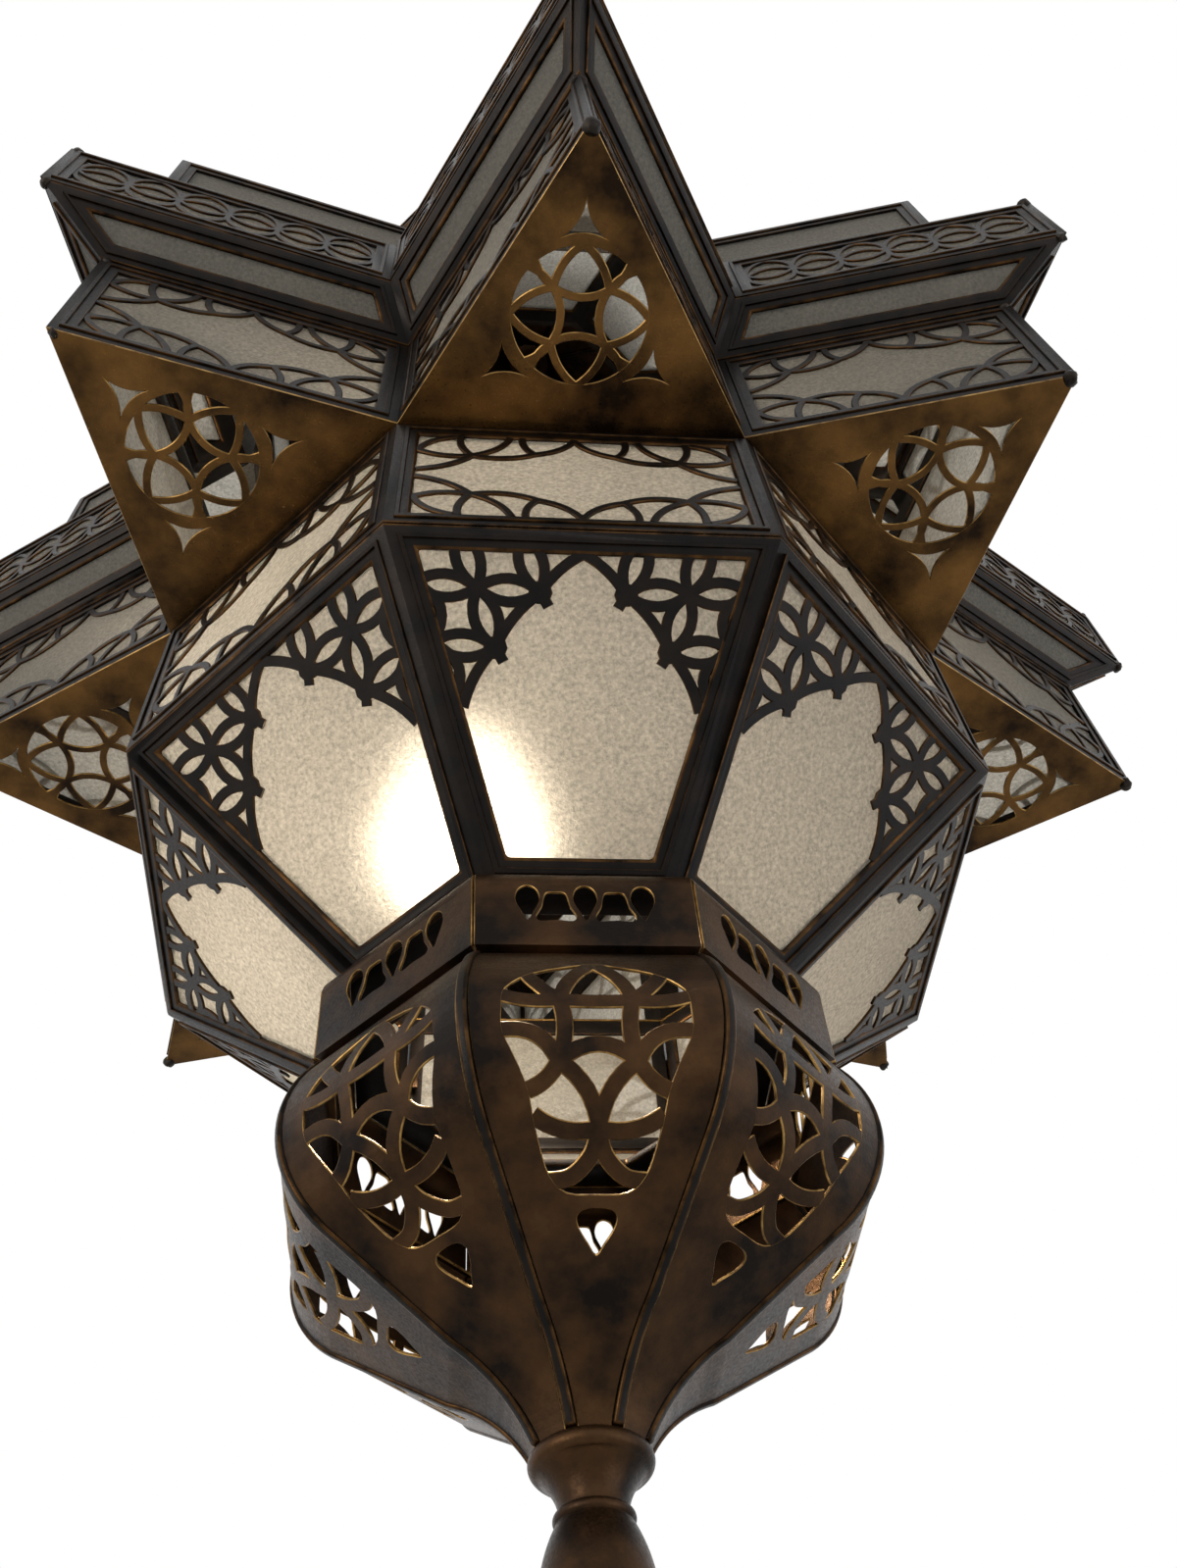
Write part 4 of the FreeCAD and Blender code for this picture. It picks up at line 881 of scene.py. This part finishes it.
def dressed(name, nodes, metals, bevel, segments=2, smooth=35.0, limit=25.0):
    """CAD nodes with their corners rounded, the corners in the second finish."""
    edit = node_copy(nodes)
    mesh = bpy.data.meshes.new(name)
    edit.to_mesh(mesh)
    edit.free()
    for face in mesh.polygons:
        face.material_index = 0
    source = drafted(mesh)
    modifier = source.modifiers.new("corner", "BEVEL")
    modifier.width = bevel / 1000
    modifier.segments = segments
    modifier.limit_method = "ANGLE"
    modifier.angle_limit = math.radians(limit)
    modifier.material = len(metals) - 1
    modifier.use_clamp_overlap = True
    source.data.materials.clear()
    for metal in metals:
        source.data.materials.append(metal)
    finished_in_frame(name, evaluated(source), frame["nodes"][nodes[0]]["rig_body"], nodes, smooth)


def glazed(name, node):
    """Panes whose outer face is frosted and whose other faces are smooth."""
    rim_area = 0.0004  # square metres; the narrow sides of a pane are smaller than this
    edit = node_copy([node])
    for face in edit.faces:
        middle = face.calc_center_median()
        radial = Vector((middle.x, middle.y, 0)).normalized()
        outside = face.normal.dot(radial) > 0.2 or face.normal.z > 0.9
        face.material_index = 0 if outside and face.calc_area() > rim_area else 1
    mesh = bpy.data.meshes.new(name)
    edit.to_mesh(mesh)
    edit.free()
    mesh.materials.clear()
    mesh.materials.append(glass_front)
    mesh.materials.append(glass_back)
    finished_in_frame(name, mesh, frame["nodes"][node]["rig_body"], [node], 10)


# Frames and panes
for tier in ("cone_frames_lower", "cone_frames_upper", "belt_frames_lower", "belt_frames_upper", "door_frame",
             "star_wall_lower_frames", "star_wall_upper_frames", "flare_lower_frames", "flare_upper_frames",
             "star_edge_frames", "star_frames_top"):
    # The star's level top frames are thin strips, which a wide rounding would eat away.
    rounding = 0.3 if tier == "star_frames_top" else 1.1
    dressed(f"channel_{tier}", [tier], [channel_brass_painted_shade, channel_corner_wear_and_highlight], rounding)
for tier in ("cone_panes_lower", "cone_panes_upper", "belt_panes_lower", "belt_panes_upper", "door_pane",
             "star_wall_lower_panes", "star_wall_upper_panes", "flare_lower_panes", "flare_upper_panes",
             "star_edge_panes", "star_panes_top"):
    glazed(f"glass_{tier}", tier)


# Lace on the glass

def trim(name, mesh, nodes=(), body="lantern", count=FACES, first=0):
    """Blackened trim of face 0 repeated round the axis, its near-black partly painted shade."""
    finished(name, round_axis(mesh, count, first, channel_brass_painted_shade, channel_corner_wear_and_highlight), body, nodes)


def on_panel(panel, drawing, rise=LACE_RISE / 2 - PANE_FACE):
    """A flat drawing laid on a panel of face 0, by default on its glass."""
    drawing.transform(panel.placed(rise))
    return drawing


def bracket_lace(panel, height):
    """The brackets of lace on an upright pane."""
    side = panel.flat[1][0] - CAME_WIDTH
    lines = bracket_lines(-side, side, CAME_WIDTH, height - CAME_WIDTH)
    return on_panel(panel, bands(lines, BRACKET_BAND, LACE_RISE))


cone = Panel(octagon_wall(0), BODY_PROFILE[0], BODY_PROFILE[1])
cone_lines, cone_knobs = cone_lace_lines(cone)
knob_numbers = range(len(cone_lines), len(cone_lines) + len(cone_knobs))
corner_lace = bands(cone_lines + cone_knobs, CORNER_BAND, LACE_RISE, knob_numbers)
trim("lace_of_sloping_panes", on_panel(cone, corner_lace), ["cone_lace_lower"])

belt = Panel(octagon_wall(0), BODY_PROFILE[1], BODY_PROFILE[2])
belt_lace = bracket_lace(belt, BELT_HEIGHT)
door_lace = belt_lace.copy()
trim("lace_of_belt", belt_lace, ["belt_lace_lower"], "lantern", FACES - 1, DOOR_FACE + 1)
trim("lace_of_door", door_lace, ["door_lace"], "door", 1, DOOR_FACE)

wall_lace, edge_lace = [], []
for second in (False, True):
    wall = Panel(star_wall(0, second), STAR_PROFILE[0], STAR_PROFILE[1])
    wall_lace.append(bracket_lace(wall, wall.height))
    strip = Panel(star_wall(0, second), STAR_PROFILE[2], STAR_PROFILE[3])
    side = strip.flat[1][0] - CAME_WIDTH
    row = edge_row(-side, side, CAME_WIDTH, strip.height - CAME_WIDTH)
    edge_lace.append(on_panel(strip, bands(row, FILIGREE_BAND, LACE_RISE)))
trim("lace_of_star_walls", joined(wall_lace), ["star_wall_lace_lower"])
trim("filigree_of_star_edge", joined(edge_lace))


# The rolled bead along the middle of each channel

def bead_line(panel):
    """A closed line half way across the channel of a panel."""
    reach = CAME_WIDTH / 2
    loop = []
    for index, (x, y) in enumerate(panel.flat):
        before, after = panel.flat[index - 1], panel.flat[(index + 1) % 4]
        first = Vector((x - before[0], y - before[1])).normalized()
        second = Vector((after[0] - x, after[1] - y)).normalized()
        inward = Vector((-first.y - second.y, first.x + second.x)).normalized()
        slant = inward.dot(Vector((-first.y, first.x)))
        loop.append((x + inward.x * reach / slant, y + inward.y * reach / slant))
    return loop


def beads(panels):
    """Rolled beads on the channels of these panels of face 0."""
    return joined([on_panel(panel, bands([bead_line(panel)], BEAD_WIDTH, BEAD_THICKNESS, [0]), BEAD_RISE)
                   for panel in panels])


def upturned(profile):
    """The same profile on the upper half of the lantern."""
    return [(distance, 2 * MIDDLE - height) for distance, height in reversed(profile)]


upper_body = upturned(BODY_PROFILE)
octagon_tiers = [cone] + [Panel(octagon_wall(0), low, high) for low, high in zip(upper_body, upper_body[1:])]
# The edge strip is its own mirror image, so the upper half starts above it.
star_line = STAR_PROFILE + upturned(STAR_PROFILE)[2:]
star_tiers = [Panel(star_wall(0, second), low, high)
              for low, high in zip(star_line, star_line[1:]) for second in (False, True)]
trim("beads_of_body", beads(octagon_tiers))
trim("beads_of_star", beads(star_tiers))
belt_bead = beads([belt])
door_bead = belt_bead.copy()
trim("beads_of_belt", belt_bead, [], "lantern", FACES - 1, DOOR_FACE + 1)
trim("beads_of_door", door_bead, [], "door", 1, DOOR_FACE)


# Pierced plates, gallery, bowl and crown

def pierced_part(name, mesh, node, metal=None):
    """Pierced sheet of face 0 repeated round the axis, its inner side painted with the lamp's light."""
    finished(name, paint_lamp_light_inside(round_axis(mesh, metal=metal)), "lantern", [node])


def gore_sheet(line, gap, holes):
    """The flat sheet of one face of a bent surface, its drawn side at height 0."""
    sheet = pierced_sheet(gore_outline(line, gap), holes, SHEET)
    sheet.transform(Matrix.Translation((0, 0, -SHEET)))
    return sheet


# The star plates take the lighter brass, a painted highlight.
pierced_part("pierced_star_plates", star_plate_mesh(), "star_plates_lower", star_plate_brass_painted_highlight)

for name, node, top, direction in (("pierced_gallery", "gallery_band", GALLERY_TOP, -1),
                                   ("pierced_crown_band", "crown_band", CROWN_BAND_FOOT, 1)):
    line = gallery_line(top, direction)
    holes = [[(x + centre, y) for x, y in whole_outline(half)] for centre, half in GALLERY_HOLES]
    pierced_part(name, bent(gore_sheet(line, FACET_GAP, holes), line, -direction), node)

bowl = placed_line(BOWL_CORNERS, GALLERY_TOP - GALLERY_HEIGHT, -1)
sheet = gore_sheet(bowl, SEAM_GAP, [whole_outline(GORE_FIELD), whole_outline(GORE_DROP)])
arms = bands(gore_lines(), GORE_BAND, TRACERY)
arms.transform(Matrix.Translation((0, 0, -SHEET * 0.5)))
pierced_part("pierced_bowl_gores", bent(joined([sheet, arms]), bowl, 1), "bowl_gores")

dome = placed_line(BOWL_CORNERS, DOME_FOOT, 1, DOME_RATIO)
sheet = gore_sheet(dome, SEAM_GAP, [])
finished("crown_gores_bent", round_axis(bent(sheet, dome, -1)), "lantern", ["crown_gores"])

for node in ("bowl_seams", "crown_seams"):
    dressed(f"rolled_{node}", [node], [channel_brass_painted_shade, channel_corner_wear_and_highlight], 1.0, 3, 60)
for node in ("mouth_hoop", "crown_hoop"):
    dressed(f"flat_{node}", [node], [channel_brass_painted_shade, channel_corner_wear_and_highlight], 0.5)

# Turned parts and fittings: node, slot, finish, rounding of the corners
for node, slot, metal, bevel in (
        ("finial", "brass", brass_patina_and_painted_shade, 0.2), ("bowl_washer", "brass", brass_patina_and_painted_shade, 0.3),
        ("finial_nut", "brass", brass_patina_and_painted_shade, 0.5), ("top_cap", "brass", brass_patina_and_painted_shade, 0.3),
        ("hanging_eye", "brass", brass_patina_and_painted_shade, 0.2), ("hanging_ring", "brass", brass_patina_and_painted_shade, 0.2),
        ("hinge_knuckles", "brass", brass_patina_and_painted_shade, 0.25), ("door_knuckle", "brass", brass_patina_and_painted_shade, 0.25),
        ("hinge_pin", "steel", plated_steel, 0.2), ("catch_knob", "brass", brass_patina_and_painted_shade, 0.2),
        ("catch_arm", "brass", brass_patina_and_painted_shade, 0.2), ("cross_bar", "steel", plated_steel, 0.4),
        ("lamp_arm", "steel", plated_steel, 0.4), ("lamp_tube", "steel", plated_steel, 0.3),
        ("lock_nut_lower", "steel", plated_steel, 0.5), ("lock_nut_upper", "steel", plated_steel, 0.5),
        ("lock_nut_arm", "steel", plated_steel, 0.5), ("lamp_holder", "holder_plastic", phenolic, 0.6),
        ("bulb_cap", "cap_metal", pressed_aluminium, 0.4), ("bulb", "bulb_glass", lit_opal, 0.1)):
    dressed(f"shaped_{node}", [node], [metal], bevel, 2, 40, 50)

# Solder on the tips of the star, where the frames meet
places = []
for face in range(FACES):
    azimuth = FRONT + 2 * HALF_FACE * face
    for height, ratio in ((WALL_FOOT, 1), (WALL_TOP, 1), (FLARE_TOP, FLARE_RATIO), (EDGE_TOP, FLARE_RATIO)):
        places.append(at(azimuth, TIP_RADIUS * ratio - SOLDER_INSET, height))
joints = bpy.data.meshes.new("joints")
joints.from_pydata(places, [], [])
drops = worked(joints, BEADS, Radius=SOLDER_RADIUS, Solder=solder)
finished("solder_of_star_tips", drops, "lantern", [], 60)


# Floor, light and camera, in metres

def plane(name, size, height, colour):
    mesh = bpy.data.meshes.new(name)
    corners = [(-size, -size, height), (size, -size, height), (size, size, height), (-size, size, height)]
    mesh.from_pydata(corners, [], [(0, 1, 2, 3)])
    material, tree, _ = new_material(name)
    surface = add(tree, "ShaderNodeBsdfDiffuse", {"Color": paint(colour)})
    add(tree, "ShaderNodeOutputMaterial", {"Surface": surface.outputs["BSDF"]})
    mesh.materials.append(material)
    piece = bpy.data.objects.new(name, mesh)
    bpy.context.scene.collection.objects.link(piece)


plane("studio_floor", 6.0, -2.7, "#e6e6e4")

# A white background for the eye, reflections and glass; less of it lights the object.
SKY_LIGHT = 0.65
world = bpy.data.worlds.new("white_studio")
world.use_nodes = True
sky_tree = world.node_tree
sky_tree.nodes.clear()
rays = add(sky_tree, "ShaderNodeLightPath")
seen = add(sky_tree, "ShaderNodeMath", {0: rays.outputs["Is Camera Ray"], 1: rays.outputs["Is Glossy Ray"]},
           operation="MAXIMUM")
seen = add(sky_tree, "ShaderNodeMath", {0: seen.outputs["Value"], 1: rays.outputs["Is Transmission Ray"]},
           operation="MAXIMUM")
level = add(sky_tree, "ShaderNodeMapRange", {"Value": seen.outputs["Value"], "To Min": SKY_LIGHT,
                                             "To Max": 1.0})
sky = add(sky_tree, "ShaderNodeBackground", {"Color": (1, 1, 1, 1), "Strength": level.outputs["Result"]})
add(sky_tree, "ShaderNodeOutputWorld", {"Surface": sky.outputs["Background"]})
bpy.context.scene.world = world
bpy.context.scene.view_settings.view_transform = "Standard"


def soft_light(name, place, size, power, colour):
    """A round soft lamp aimed at the middle of the lantern."""
    data = bpy.data.lights.new(name, "AREA")
    data.shape = "DISK"
    data.size = size
    data.energy = power
    data.color = paint(colour)[:3]
    lamp = bpy.data.objects.new(name, data)
    lamp.location = place
    lamp.rotation_euler = (Vector(CENTRE) - Vector(place)).to_track_quat("-Z", "Y").to_euler()
    bpy.context.scene.collection.objects.link(lamp)


CENTRE = (0.0, 0.0, -0.6)
soft_light("key", (-1.8, -1.6, -0.9), 1.6, 22, "#fff6ea")
soft_light("fill", (1.9, -1.2, -1.4), 1.8, 10, "#f2f5ff")
soft_light("top", (0.3, 0.9, 1.4), 2.0, 20, "#ffffff")

# The camera of the perspective fit: its place in millimetres, its axes, and its lens from a focal length and
# a picture height in pixels.
CAMERA_PLACE = (-33.82, -352.48, -413.26)
CAMERA_RIGHT = (0.99644, -0.06458, -0.05413)
CAMERA_UP = (-0.02073, -0.81053, 0.58533)
CAMERA_BACK = (-0.08167, -0.58213, -0.80898)
SENSOR = 36
FOCAL_PIXELS, PICTURE_HEIGHT = 1417.49, 1599

camera_data = bpy.data.cameras.new("camera")
camera_data.sensor_width = SENSOR
camera_data.lens = FOCAL_PIXELS * SENSOR / PICTURE_HEIGHT
camera_data.clip_start = 0.01
camera = bpy.data.objects.new("camera", camera_data)
turn = Matrix((CAMERA_RIGHT, CAMERA_UP, CAMERA_BACK)).transposed().to_4x4()
camera.matrix_world = Matrix.Translation(TO_FRAME @ Vector(CAMERA_PLACE)) @ turn
bpy.context.scene.collection.objects.link(camera)
bpy.context.scene.camera = camera
